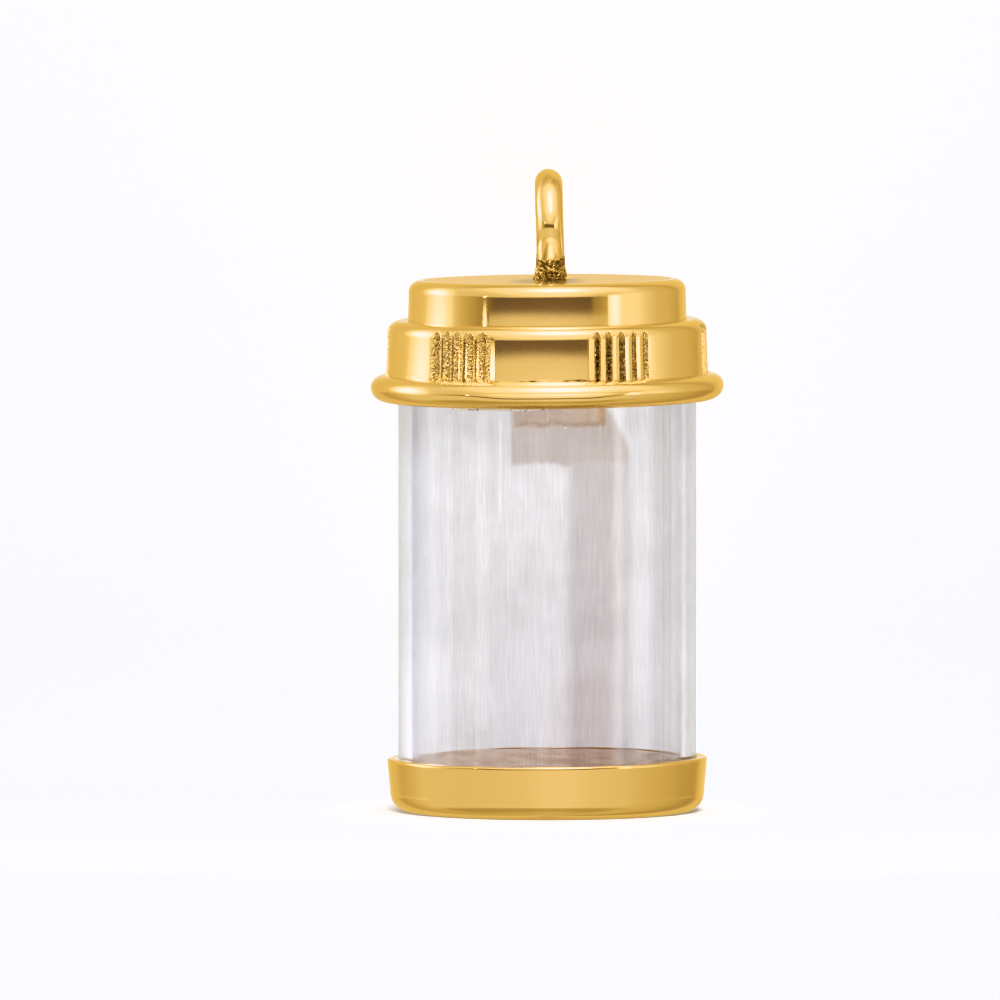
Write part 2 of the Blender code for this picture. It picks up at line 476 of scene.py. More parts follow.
class Effects:
    """The effects that more than one material uses, each a node group made once."""

    def __init__(self) -> None:
        """Build the groups."""
        self.hand_polish = self.build_hand_polish()
        self.cast_grain = self.build_cast_grain()

    @staticmethod
    def build_hand_polish() -> bpy.types.NodeTree:
        """Return the group of slow waves and fine lines that a polishing wheel leaves."""
        nodes, given, made = new_group(
            "hand_polish",
            {"Vector": "NodeSocketVector", "Waves": "NodeSocketFloat",
             "Lines": "NodeSocketFloat", "Roughness": "NodeSocketFloat"},
            {"Height": "NodeSocketFloat", "Roughness": "NodeSocketFloat"},
        )
        where = given.outputs["Vector"]
        waves = nodes.noise(where, given.outputs["Waves"], 1.0, 0.4)
        lines = nodes.noise(nodes.stretched(where, 7.0), given.outputs["Lines"], 3.0, 0.6)
        spread = nodes.ramp(lines, 0.35, 0.75, (0.8, 1.35))
        nodes.feed(made, Height=nodes.math("MULTIPLY_ADD", lines, 0.05, waves),
                   Roughness=nodes.times(given.outputs["Roughness"], spread))
        return nodes.tree

    @staticmethod
    def build_cast_grain() -> bpy.types.NodeTree:
        """Return the group of the grain that a casting keeps where no tool has reached."""
        nodes, given, made = new_group(
            "cast_grain",
            {"Vector": "NodeSocketVector", "Grains": "NodeSocketFloat",
             "Share": "NodeSocketFloat"},
            {"Height": "NodeSocketFloat", "Pits": "NodeSocketFloat"},
        )
        where, grains, share = given.outputs[:3]
        cells = nodes.cells(where, grains, "SMOOTH_F1")
        fine = nodes.noise(where, nodes.times(grains, 1.7), 2.0, 0.6)
        height = nodes.math("ADD", nodes.times(cells.outputs["Distance"], 0.7), fine)
        nodes.feed(made, Height=nodes.times(height, share),
                   Pits=nodes.times(nodes.ramp(fine, 0.41, 0.33), share))
        return nodes.tree


@dataclass(frozen=True)
class GoldFinish:
    """Yellow gold, polished where the wheel reached and raw in the cast hollows.

    Attributes:
        name: name of the material.
        colour: reflectance of the polished metal.
        edge_colour: tint of what it reflects at a grazing angle.
        deep_colour: reflectance of tarnish, of painted shade and of the pits in the cast grain.
        roughness: roughness of the polished metal.
        cast_roughness: extra roughness of the raw cast surface.
        matt_roughness: extra roughness where the surface was only brushed.
        waves: how many polishing waves a metre holds.
        wave_depth: height of the polishing waves, in metres.
        lines: how many polishing lines a metre holds.
        grains: how many grains of the cast surface a metre holds.
        grain_depth: height of the cast grain, in metres.
        grain_everywhere: share of cast grain on the whole piece.
    """

    name: str
    colour: Colour = (0.865, 0.553, 0.168)
    edge_colour: Colour = (0.98, 0.80, 0.38)
    deep_colour: Colour = (0.11, 0.06, 0.015)
    roughness: float = 0.075
    cast_roughness: float = 0.035
    matt_roughness: float = 0.19
    waves: float = 420.0
    wave_depth: float = 0.0035 * MM
    lines: float = 9000.0
    grains: float = 21000.0
    grain_depth: float = 0.013 * MM
    grain_everywhere: float = 0.0

    def build(self, effects: Effects) -> Material:
        """Return the material."""
        material, nodes, shader = new_material(self.name)
        where = nodes.add("ShaderNodeTexCoord").outputs["Object"]
        share = nodes.math("MAXIMUM", nodes.attribute("cast"), self.grain_everywhere)
        polish = nodes.group(effects.hand_polish, Vector=where, Waves=self.waves,
                             Lines=self.lines, Roughness=self.roughness)
        cast = nodes.group(effects.cast_grain, Vector=where, Grains=self.grains, Share=share)
        # Darkened in the cast grain's pits and by the attribute that holds tarnish, dark seams and
        # painted shade.
        dark = nodes.math("MAXIMUM", cast.outputs["Pits"], nodes.attribute("tarnish_and_painted_shade"))
        rough = nodes.math("MULTIPLY_ADD", share, self.cast_roughness,
                           polish.outputs["Roughness"])
        rough = nodes.math("MULTIPLY_ADD", nodes.attribute("matt"), self.matt_roughness, rough)
        waves = nodes.bump(polish.outputs["Height"], self.wave_depth)
        nodes.feed(
            shader, Metallic=1.0, Specular_Tint=(*self.edge_colour, 1), Roughness=rough,
            Base_Color=nodes.mix(dark, (*self.colour, 1), (*self.deep_colour, 1)),
            Normal=nodes.bump(cast.outputs["Height"], self.grain_depth, over=waves))
        nodes.show(shader.outputs["BSDF"])
        return material


@dataclass(frozen=True)
class FrostAndPaintedLight:
    """A patch on the front of the glass that tints the light going through it, in millimetres of
    the frame: most are painted reflections, painted shade and painted highlights, two are frost.

    Attributes:
        left: its left edge along X.
        right: its right edge.
        low: its lower edge.
        high: its upper edge.
        tint: what it leaves of the light that goes through.
        soft: width over which its sides fade.
        soft_ends: height over which its lower and upper edges fade.
        broken: share of it that is worn away in spots.
        bent: whether its right side curves to the left towards the top.
    """

    left: float
    right: float
    low: float
    high: float
    tint: Colour
    soft: float = 0.05
    soft_ends: float = 0.10
    # broken: share of it that is broken up in spots.
    broken: float = 0.0
    bent: bool = False


FROST_AND_PAINTED_LIGHT = (
    # Painted shade: the darker zone under the cap and down the glass, its right edge curving left
    # at the top.
    FrostAndPaintedLight(-1.12, 2.56, 11.22, 13.60, (0.74, 0.68, 0.62), soft=0.14, soft_ends=0.22, bent=True),
    FrostAndPaintedLight(0.66, 2.56, 0.50, 11.22, (0.77, 0.73, 0.715), soft=0.50, soft_ends=0.22, bent=True),
    # Painted shade: soft darker zones near the cap and near the cup.
    FrostAndPaintedLight(0.10, 1.90, 0.50, 4.60, (0.94, 0.895, 0.885), soft=0.70, soft_ends=1.00),
    FrostAndPaintedLight(-6.00, 6.00, 11.60, 15.00, (0.88, 0.875, 0.87), soft_ends=2.40),
    FrostAndPaintedLight(-2.40, -1.15, 12.00, 15.00, (0.92, 0.92, 0.92), soft=0.40, soft_ends=1.20),
    FrostAndPaintedLight(-6.00, 6.00, 0.00, 3.60, (0.96, 0.95, 0.945), soft_ends=2.60),
    FrostAndPaintedLight(2.20, 6.00, 0.00, 4.40, (0.84, 0.835, 0.83), soft=0.60, soft_ends=4.00),
    # Painted reflections and shade in strips near the glass's sides, where it bends the light.
    FrostAndPaintedLight(3.20, 3.60, 0.50, 13.60, (0.90, 0.885, 0.86), soft=0.07),
    FrostAndPaintedLight(3.62, 3.68, 0.50, 13.60, (0.84, 0.82, 0.79), soft=0.03),
    FrostAndPaintedLight(3.66, 3.92, 0.50, 13.60, (0.88, 0.86, 0.84), soft=0.06),
    FrostAndPaintedLight(4.36, 4.80, 0.50, 13.60, (0.76, 0.735, 0.745), soft=0.07),
    FrostAndPaintedLight(-4.80, -4.05, 0.50, 13.60, (0.87, 0.865, 0.88), soft=0.30),
    # Frost on the glass at the top left.
    FrostAndPaintedLight(-4.80, -3.85, 11.50, 13.60, (0.86, 0.83, 0.80), soft=0.4, soft_ends=1.2, broken=0.7),
    FrostAndPaintedLight(-3.95, -2.40, 12.20, 13.60, (0.93, 0.92, 0.91), soft=0.5, soft_ends=0.6, broken=0.5),
    # Painted reflection of the flange's underside in the glass's front, with a painted highlight
    # where the tint is over 1.
    FrostAndPaintedLight(-1.02, 1.80, 12.42, 13.60, (0.93, 0.82, 0.71), soft=0.12, soft_ends=0.12, broken=0.2),
    FrostAndPaintedLight(-0.90, 1.70, 12.42, 12.56, (0.88, 0.76, 0.62), soft=0.40, soft_ends=0.08, broken=0.5),
    FrostAndPaintedLight(0.70, 1.75, 12.62, 12.98, (1.12, 1.06, 0.95), soft=0.40, soft_ends=0.12, broken=0.6),
    FrostAndPaintedLight(1.60, 1.80, 12.50, 13.60, (0.88, 0.72, 0.50), soft=0.08, soft_ends=0.10, broken=0.6),
    # Painted highlights: bright lines where the lamps' edges are mirrored.
    FrostAndPaintedLight(-3.14, -2.97, 0.50, 12.75, (1.15, 1.14, 1.14), soft=0.07),
    FrostAndPaintedLight(-2.16, -2.11, 0.50, 12.75, (1.14, 1.14, 1.14), soft=0.03, broken=0.6),
    FrostAndPaintedLight(-1.49, -1.42, 9.60, 12.85, (1.24, 1.24, 1.24), soft=0.03, soft_ends=0.8, broken=0.2),
)


@dataclass(frozen=True)
class GlassFinish:
    """Clear old glass with frost, painted reflections, painted shade and painted highlights on its
    front, fine scratches and specks.

    Attributes:
        name: name of the material.
        colour: tint of the light that goes straight through a wall.
        edge_colour: tint where a wall is seen at a grazing angle.
        index: index of refraction.
        gloss: strength of its reflections.
        shadow: tint of the shadow that it casts.
        frost_and_painted_light: the frost and the painted reflections, shade and highlights on its
            front.
        front: depths between which these fade towards the glass's back.
        bend_over: heights between which the bent patches curve.
        bend: how far the bent patches curve to the left, in metres.
        sway: how far the patches' lower and upper edges wander up and down, in metres.
        specks: how many cells that may hold a speck a metre has.
        speck_size: radius of the specks, as a share of their cells.
        speck_colour: tint of the specks.
        speck_roughness: roughness of the specks.
        scratches: how many scratches lie side by side in a metre.
        scratch_stretch: how much finer than long they are.
        clouds: how many clouds a metre holds.
        scratch_tones: least and greatest light through the scratches.
        cloud_tones: least and greatest light through the clouds.
    """

    name: str = "clear_glass"
    colour: Colour = (0.915, 0.907, 0.915)
    edge_colour: Colour = (0.55, 0.545, 0.55)
    index: float = 1.5
    gloss: float = 0.5
    shadow: Colour = (0.97, 0.97, 0.975)
    frost_and_painted_light: tuple[FrostAndPaintedLight, ...] = FROST_AND_PAINTED_LIGHT
    front: tuple[float, float] = (1.0 * MM, 0.4 * MM)
    bend_over: tuple[float, float] = (11.1 * MM, 13.9 * MM)
    bend: float = 1.05 * MM
    sway: float = 0.35 * MM
    specks: float = 1700.0
    speck_size: float = 0.055
    speck_colour: Colour = (0.50, 0.46, 0.44)
    speck_roughness: float = 0.4
    scratches: float = 16000.0
    scratch_stretch: float = 0.06
    clouds: float = 700.0
    scratch_tones: tuple[float, float] = (0.94, 1.04)
    cloud_tones: tuple[float, float] = (0.96, 1.03)

    def build(self) -> Material:
        """Return the material."""
        material, nodes, shader = new_material(self.name)
        where = nodes.add("ShaderNodeTexCoord").outputs["Object"]
        facing = nodes.add("ShaderNodeLayerWeight").outputs["Facing"]
        tone = nodes.mix(facing, (*self.colour, 1), (*self.edge_colour, 1))
        # Frost and painted reflections, shade and highlights laid over the glass's tint.
        tone = self.with_frost_and_painted_light(nodes, where, tone)
        scratches = nodes.noise(nodes.stretched(where, self.scratch_stretch),
                                self.scratches, 2.0, 0.6)
        clouds = nodes.noise(where, self.clouds, 4.0, 0.62)
        wear = nodes.times(nodes.ramp(scratches, 0.30, 0.72, self.scratch_tones),
                           nodes.ramp(clouds, 0.30, 0.70, self.cloud_tones))
        speck = self.speck(nodes, where)
        tone = nodes.mix(speck, nodes.tinted(tone, wear), (*self.speck_colour, 1))
        nodes.feed(shader, Transmission_Weight=1.0, IOR=self.index,
                   Specular_Tint=(self.gloss,) * 3 + (1,), Base_Color=tone,
                   Roughness=nodes.times(speck, self.speck_roughness))
        clear = nodes.feed(nodes.add("ShaderNodeBsdfTransparent"), Color=(*self.shadow, 1))
        path = nodes.add("ShaderNodeLightPath").outputs
        soft = nodes.math("MAXIMUM", path["Is Shadow Ray"], path["Is Diffuse Ray"])
        nodes.show(nodes.blend(soft, shader.outputs["BSDF"], clear.outputs["BSDF"]))
        return material

    def speck(self, nodes: Nodes, where: Socket) -> Socket:
        """Return 1 inside the tiny scattered specks and 0 outside."""
        cells = nodes.cells(where, self.specks, "F1")
        chosen = nodes.ramp(cells.outputs["Color"], 0.62, 0.66)
        inside = nodes.ramp(cells.outputs["Distance"], self.speck_size, self.speck_size / 2)
        return nodes.times(chosen, inside)

    def with_frost_and_painted_light(self, nodes: Nodes, where: Socket, tone: Socket) -> Socket:
        """Return the tone with every patch of frost and painted light laid over it."""
        x, y, z = nodes.split(where)
        front = nodes.ramp(y, *self.front)
        top = nodes.ramp(z, *self.bend_over)
        bent = nodes.math("MULTIPLY_ADD", nodes.math("POWER", top, 1.3), self.bend, x)
        z = nodes.math("ADD", z, nodes.math(
            "MULTIPLY_ADD", nodes.noise(where, 1300.0, 6.0, 0.75), 2 * self.sway, -self.sway))
        spots = nodes.noise(where, 11000.0, 2.0, 0.6)
        for glass_patch in self.frost_and_painted_light:
            soft, ends = glass_patch.soft * MM / 2, glass_patch.soft_ends * MM / 2
            inside = front
            side = bent if glass_patch.bent else x
            for axis, edge, fade in ((x, glass_patch.left, soft), (z, glass_patch.low, ends),
                                     (side, glass_patch.right, -soft), (z, glass_patch.high, -ends)):
                inside = nodes.times(inside, nodes.ramp(axis, edge * MM - fade, edge * MM + fade))
            if glass_patch.broken:
                worn = nodes.ramp(spots, 0.54, 0.44, (1.0 - glass_patch.broken, 1.3))
                inside = nodes.times(inside, worn)
            tone = nodes.mix(inside, tone, nodes.tinted(tone, glass_patch.tint))
        return tone


@dataclass(frozen=True)
class CementFinish:
    """Pale clouded cement.

    Attributes:
        name: name of the material.
        colour: its colour where it is clean.
        dirt: its colour in the clouds.
        shadow_lines: share of dark lines of painted shadow, as in the gap under the flange.
        shadow_line_colour: colour of the painted shadow lines.
        roughness: its roughness.
        lumps: how many lumps a metre holds.
        lump_depth: height of the lumps, in metres.
        clouds: how many clouds of dirt a metre holds.
        veins: how many waves a metre of the pattern holds whose middle line is painted dark.
        middle: value of the pattern on that line.
        shadow_line_fades: distances from that value over which a painted shadow line begins.
    """

    name: str = "clouded_cement"
    colour: Colour = (0.84, 0.77, 0.78)
    dirt: Colour = (0.66, 0.56, 0.53)
    shadow_lines: float = 0.0
    shadow_line_colour: Colour = (0.05, 0.04, 0.03)
    roughness: float = 0.45
    lumps: float = 9000.0
    lump_depth: float = 0.006 * MM
    clouds: float = 1100.0
    veins: float = 2300.0
    middle: float = 0.47
    shadow_line_fades: tuple[float, float] = (0.022, 0.010)

    def build(self, effects: Effects) -> Material:
        """Return the material."""
        material, nodes, shader = new_material(self.name)
        where = nodes.add("ShaderNodeTexCoord").outputs["Object"]
        clouds = nodes.noise(nodes.stretched(where, 6.0), self.clouds, 4.0, 0.6)
        tone = nodes.mix(nodes.ramp(clouds, 0.60, 0.38), (*self.colour, 1), (*self.dirt, 1))
        # Painted shadow: dark squiggly lines along the pattern's middle line.
        beside = nodes.math("ABSOLUTE", nodes.math(
            "SUBTRACT", nodes.noise(where, self.veins, 3.0, 0.6), self.middle))
        shadow_line = nodes.times(nodes.ramp(beside, *self.shadow_line_fades), self.shadow_lines)
        lumps = nodes.group(effects.cast_grain, Vector=where, Grains=self.lumps, Share=1.0)
        nodes.feed(shader, Base_Color=nodes.mix(shadow_line, tone, (*self.shadow_line_colour, 1)),
                   Roughness=self.roughness,
                   Normal=nodes.bump(lumps.outputs["Height"], self.lump_depth))
        nodes.show(shader.outputs["BSDF"])
        return material


@dataclass(frozen=True)
class PaperFinish:
    """Matt pale paper, for the studio's floor and for the sheet behind the pendant.

    Attributes:
        name: name of the material.
        white: its colour.
        clear_from_behind: whether it can be looked through from its back.
    """

    name: str
    white: Colour
    clear_from_behind: bool = False

    def build(self) -> Material:
        """Return the material."""
        material, nodes, shader = new_material(self.name)
        nodes.feed(shader, Base_Color=(*self.white, 1), Roughness=1.0, Specular_IOR_Level=0.0)
        surface = shader.outputs["BSDF"]
        if self.clear_from_behind:
            behind = nodes.add("ShaderNodeNewGeometry").outputs["Backfacing"]
            clear = nodes.add("ShaderNodeBsdfTransparent").outputs["BSDF"]
            surface = nodes.blend(behind, surface, clear)
        nodes.show(surface)
        return material


# Pieces


@dataclass(frozen=True)
class Levels:
    """Heights and radii that the frame gives.

    Attributes:
        cup_rim: height of the base cup's rim.
        flange_foot: height of the flange's underside.
        top: height of the jump ring's top.
        glass_foot: height of the glass's lower end.
        glass_head: height of the glass's upper end.
        glass_radius: outer radius of the glass.
        cup_radius: radius of the base cup's rim.
        flange_radius: radius of the rolled flange.
    """

    cup_rim: float
    flange_foot: float
    top: float
    glass_foot: float
    glass_head: float
    glass_radius: float
    cup_radius: float
    flange_radius: float

    @classmethod
    def from_frame(cls) -> Levels:
        """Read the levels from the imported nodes."""
        cup, cap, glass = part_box("base_cup"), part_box("cap"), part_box("glass_tube")
        return cls(
            cup_rim=cup[1][2],
            flange_foot=cap[0][2],
            top=cap[1][2],
            glass_foot=glass[0][2],
            glass_head=glass[1][2],
            glass_radius=glass[1][0],
            cup_radius=cup[1][0],
            flange_radius=cap[1][0],
        )


def dress(piece: bpy.types.Object, material: Material, slot: Slot | None,
          *nodes: str) -> bpy.types.Object:
    """Give a piece its finish, its body and the nodes that it stands for.

    Args:
        piece: the object.
        material: its finish.
        slot: not used.
        nodes: names of the frame's nodes that it replaces.

    Returns:
        The piece.
    """
    piece.data.materials.clear()
    piece.data.materials.append(material)
    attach(piece, BODY)
    if nodes:
        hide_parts(*nodes)
    return piece


@dataclass
class CapCrown:
    """The plain crown tier of the cap: flat top, round shoulder and a wall that widens a little.

    Attributes:
        foot: height where it stands on the fluted tier.
        height: height of the tier.
        radius: radius at its foot.
        shoulder: radius of the rounded edge.
        wall: thickness of the metal.
        leans: how far the wall leans in at the foot and under the shoulder, in degrees.
        tilt: slope of the whole tier.
        fall: slope of its top towards the back.
        columns: columns round the axis.
        waviness: waviness of its wall.
        sag: unevenness of its height.
        streaks: relief that the brush left on its top.
        brushing: how much closer the streaks lie along x, y and z.
        brushed_fade: width over which the brushed top starts, inside the shoulder.
        patch: half width and front reach of the patch of painted shade before the ring, which also
            dims what the ring's lower part mirrors.
        patch_fade: width over which the patch fades.
        patch_shade: darkness of the painted shade in the patch.
    """

    foot: float
    height: float = 1.32 * MM
    radius: float = 4.41 * MM
    shoulder: float = 0.40 * MM
    wall: float = 0.58 * MM
    leans: tuple[float, float] = (2.8, 0.3)
    tilt: float = 0.0075
    fall: float = 0.0122
    columns: int = 540
    waviness: Ripple = Ripple(0.004 * MM, (2, 3, 5, 8), 900.0, 11)
    sag: Ripple = Ripple(0.006 * MM, (1, 2, 3), 0.0, 12)
    streaks: Grain = Grain(1.4 * MM, 0.010 * MM)
    brushing: tuple[float, float, float] = (0.35, 2.2, 0.0)
    brushed_fade: float = 0.15 * MM
    patch: tuple[float, float] = (1.3 * MM, 3.4 * MM)
    patch_fade: float = 0.5 * MM
    patch_shade: float = 0.62

    def build(self, gold: Material) -> bpy.types.Object:
        """Build and dress the tier."""
        top = self.foot + self.height
        edge = self.shoulder
        wall = leaning_wall((self.radius, self.foot), top - edge, self.leans, 26)
        flat = wall[0][0] - edge
        bore, ceiling, sunk = self.radius - self.wall, top - self.wall, self.foot - SUNK
        profile = joined(
            line((PINHOLE, top), (flat, top), 40),
            arc((flat, top - edge), edge, edge, (90, 0), 16),
            wall,
            line((self.radius, self.foot), (self.radius, sunk), 1),
            line((self.radius, sunk), (bore, sunk), 3),
            line((bore, sunk), (bore, ceiling), 6),
            line((bore, ceiling), (PINHOLE, ceiling), 8),
        )
        angle = once_round(self.columns)
        radius, height = profile[:, :1], profile[:, 1:]
        outer = rising(radius, self.radius)
        points = spun(radius + self.waviness.at(angle, height) * outer**4, height, angle)
        points[..., 2] += self.sag.at(angle, height) * outer
        on_top = height > top - 0.02 * MM
        streaks = self.streaks.at(points * np.array(self.brushing))
        points[..., 2] += streaks * on_top * rising(flat - radius, MM)
        upper = rising(height - self.foot, self.height) ** 2
        points[..., 2] -= self.fall * (points[..., 1] + self.radius) * upper
        brushed = on_top * rising(flat - radius, self.brushed_fade)
        brushed = np.broadcast_to(brushed, points.shape[:2])
        # Painted shade: a patch of the brushed top before the ring is darkened, so the ring's
        # lower part mirrors it dimmer.
        beside = rising(self.patch[0] - np.abs(points[..., 0]), self.patch_fade)
        before = rising(self.patch[1] + points[..., 1], self.patch_fade)
        shaded_patch = brushed * beside * before * (points[..., 1] < 0) * self.patch_shade
        skin = Grid("cap_crown", tilted(points, self.tilt), poles=True)
        made = skin.build(Shading.CREASED, matt=brushed, tarnish_and_painted_shade=shaded_patch)
        return dress(made, gold, Slot.GOLD, "cap")


@dataclass(frozen=True)
class Corner:
    """A corner of the flutes' section, and the finish and painted shade of the facet that starts
    there.

    Attributes:
        angle: angle from the front, in degrees.
        depth: how deep it lies, in millimetres.
        raw: share of raw cast surface up to the next corner.
        flute_shade: share of tarnish up to the next corner.
    """

    angle: float
    depth: float = 0.0
    # flute_shade: share of painted shade up to the next corner, where the flute's walls shade each
    # other.
    raw: float = 0.0
    flute_shade: float = 0.0


FLUTES_IN_GROUP = 5
# A corner's fourth value is painted shade on the facet after it.
REGULAR_FLUTE = (  # with angles as shares of the pitch
    Corner(0.0, 0.0, 0.4), Corner(0.28, 0.13, 0.8, 0.3), Corner(0.50, 0.20, 0.8, 0.6),
    Corner(0.72, 0.13, 0.4),
)


@dataclass(frozen=True)
class FluteGroup:
    """A group of five flutes filed side by side.

    Attributes:
        corners: the corners of their section, from left to right.
        columns: columns across the group.
    """

    corners: tuple[Corner, ...]
    columns: int = 60

    @classmethod
    def regular(cls, middle: float, pitch: float = 4.9) -> FluteGroup:
        """Return a group of five even flutes about a middle angle."""
        half = FLUTES_IN_GROUP / 2
        corners = []
        for flute in range(FLUTES_IN_GROUP):
            left = middle + pitch * (flute - half)
            corners += [replace(corner, angle=left + corner.angle * pitch)
                        for corner in REGULAR_FLUTE]
        corners.append(Corner(middle + pitch * half))
        return cls(tuple(corners))


# The two front groups, corner by corner; the fourth value is painted shade on the deep and steep
# facets.
LEFT_FLUTES = (
    Corner(-46.3, 0.0, 0.3), Corner(-45.5, 0.020, 1.0, 0.35), Corner(-44.2, 0.150, 1.1, 0.1),
    Corner(-42.4, 0.050, 0.9), Corner(-41.8, 0.0, 0.1), Corner(-41.2, 0.0, 0.3, 0.8),
    Corner(-40.8, 0.050, 1.1, 0.2), Corner(-39.2, 0.160, 1.1, 0.1), Corner(-37.3, 0.040, 0.9),
    Corner(-36.9, 0.0, 0.1), Corner(-36.4, 0.0, 0.3, 0.8), Corner(-36.0, 0.060, 1.1, 0.2),
    Corner(-34.9, 0.135, 1.1, 0.1), Corner(-34.6, 0.128, 0.045), Corner(-33.8, 0.1375, 1.1, 0.1),
    Corner(-32.3, 0.040, 0.8), Corner(-32.0, 0.0, 0.1), Corner(-31.7, 0.0, 0.3, 0.9),
    Corner(-31.25, 0.080, 0.02), Corner(-30.4, 0.0856, 1.1, 0.1),
    Corner(-29.0, 0.160, 1.1, 0.1), Corner(-27.6, 0.030, 0.8), Corner(-27.3, 0.0, 0.1),
    Corner(-26.95, 0.0, 0.3, 0.9), Corner(-26.5, 0.080, 0.045), Corner(-25.6, 0.0793, 1.1, 0.2),
    Corner(-24.2, 0.160, 1.1, 0.1), Corner(-22.5, 0.060, 1.0, 0.15),
    Corner(-20.75, 0.0172), Corner(-19.05, 0.0, 0.0, 0.5), Corner(-18.7),
)
RIGHT_FLUTES = (
    Corner(15.4), Corner(17.3, 0.070, 1.0, 0.2), Corner(17.9, 0.110, 1.1, 0.5),
    Corner(18.3, 0.135, 0.4, 1.0), Corner(18.8, 0.170, 0.3, 1.0), Corner(19.3, 0.05, 0.2, 0.2),
    Corner(19.5), Corner(21.6, 0.065, 1.0, 0.2), Corner(22.3, 0.110, 1.1, 0.5),
    Corner(22.7, 0.132, 0.4, 1.0), Corner(23.2, 0.160, 0.3, 1.0), Corner(23.8, 0.04, 0.2, 0.2),
    Corner(24.0), Corner(24.9, 0.012), Corner(25.4, 0.016), Corner(27.0, 0.066, 1.1, 0.4),
    Corner(28.0, 0.150, 0.5, 0.9), Corner(29.2), Corner(30.6), Corner(32.2, 0.045, 1.0, 0.35),
    Corner(33.3, 0.125, 0.7, 0.6), Corner(34.0, 0.010), Corner(35.4),
    Corner(37.0, 0.040, 1.0, 0.3), Corner(38.2, 0.110, 0.9, 0.3), Corner(39.3, 0.017),
    Corner(40.6),
)
FLUTE_GROUPS = (
    FluteGroup.regular(-152.5),
    FluteGroup.regular(-94.0),
    FluteGroup(LEFT_FLUTES, columns=230),
    FluteGroup(RIGHT_FLUTES, columns=200),
    FluteGroup.regular(87.5),
    FluteGroup.regular(147.5),
)


@dataclass
class Flutes:
    """The flutes of the cap, cut by hand and left raw from the casting.

    Attributes:
        groups: the groups, from left to right round the cap.
        plain_columns: columns across the plain panel between two groups.
        radius: radius of the uncut wall.
    """

    groups: tuple[FluteGroup, ...] = FLUTE_GROUPS
    plain_columns: int = 24
    radius: float = 5.05 * MM

    def angles(self) -> np.ndarray:
        """Return the columns' angles round the axis, closer together across the flutes."""
        made = []
        following = [group.corners[0].angle for group in self.groups[1:]]
        following.append(self.groups[0].corners[0].angle + 360.0)
        for group, start in zip(self.groups, following):
            first, last = group.corners[0].angle, group.corners[-1].angle
            made.append(np.linspace(first, last, group.columns, endpoint=False))
            made.append(np.linspace(last, start, self.plain_columns, endpoint=False))
        return np.radians(np.concatenate(made))

    def cut(self, angle: np.ndarray) -> tuple[np.ndarray, np.ndarray, np.ndarray]:
        """Cut the flutes.

        Args:
            angle: angles round the axis.

        Returns:
            The depth, the share of raw cast surface and the share of painted shade at each angle.
        """
        degrees = (np.degrees(angle) + 180.0) % 360.0 - 180.0
        depth, raw, flute_shade = (np.zeros(angle.shape) for _ in range(3))
        for group in self.groups:
            places, deep, rough, dark = np.array([
                (corner.angle, corner.depth * MM, corner.raw, corner.flute_shade)
                for corner in group.corners]).T
            inside = (degrees >= places[0]) & (degrees < places[-1])
            facet = np.clip(np.searchsorted(places, degrees, side="right") - 1, 0, len(places) - 2)
            left, right = np.radians(places[facet]), np.radians(places[facet + 1])
            here = np.radians(degrees)
            flat = np.sin(right - left) / (
                np.sin(right - here) / (self.radius - deep[facet])
                + np.sin(here - left) / (self.radius - deep[facet + 1]))
            depth = np.where(inside, self.radius - flat, depth)
            raw = np.where(inside, rough[facet], raw)
            flute_shade = np.where(inside, dark[facet], flute_shade)
        return depth, raw, flute_shade


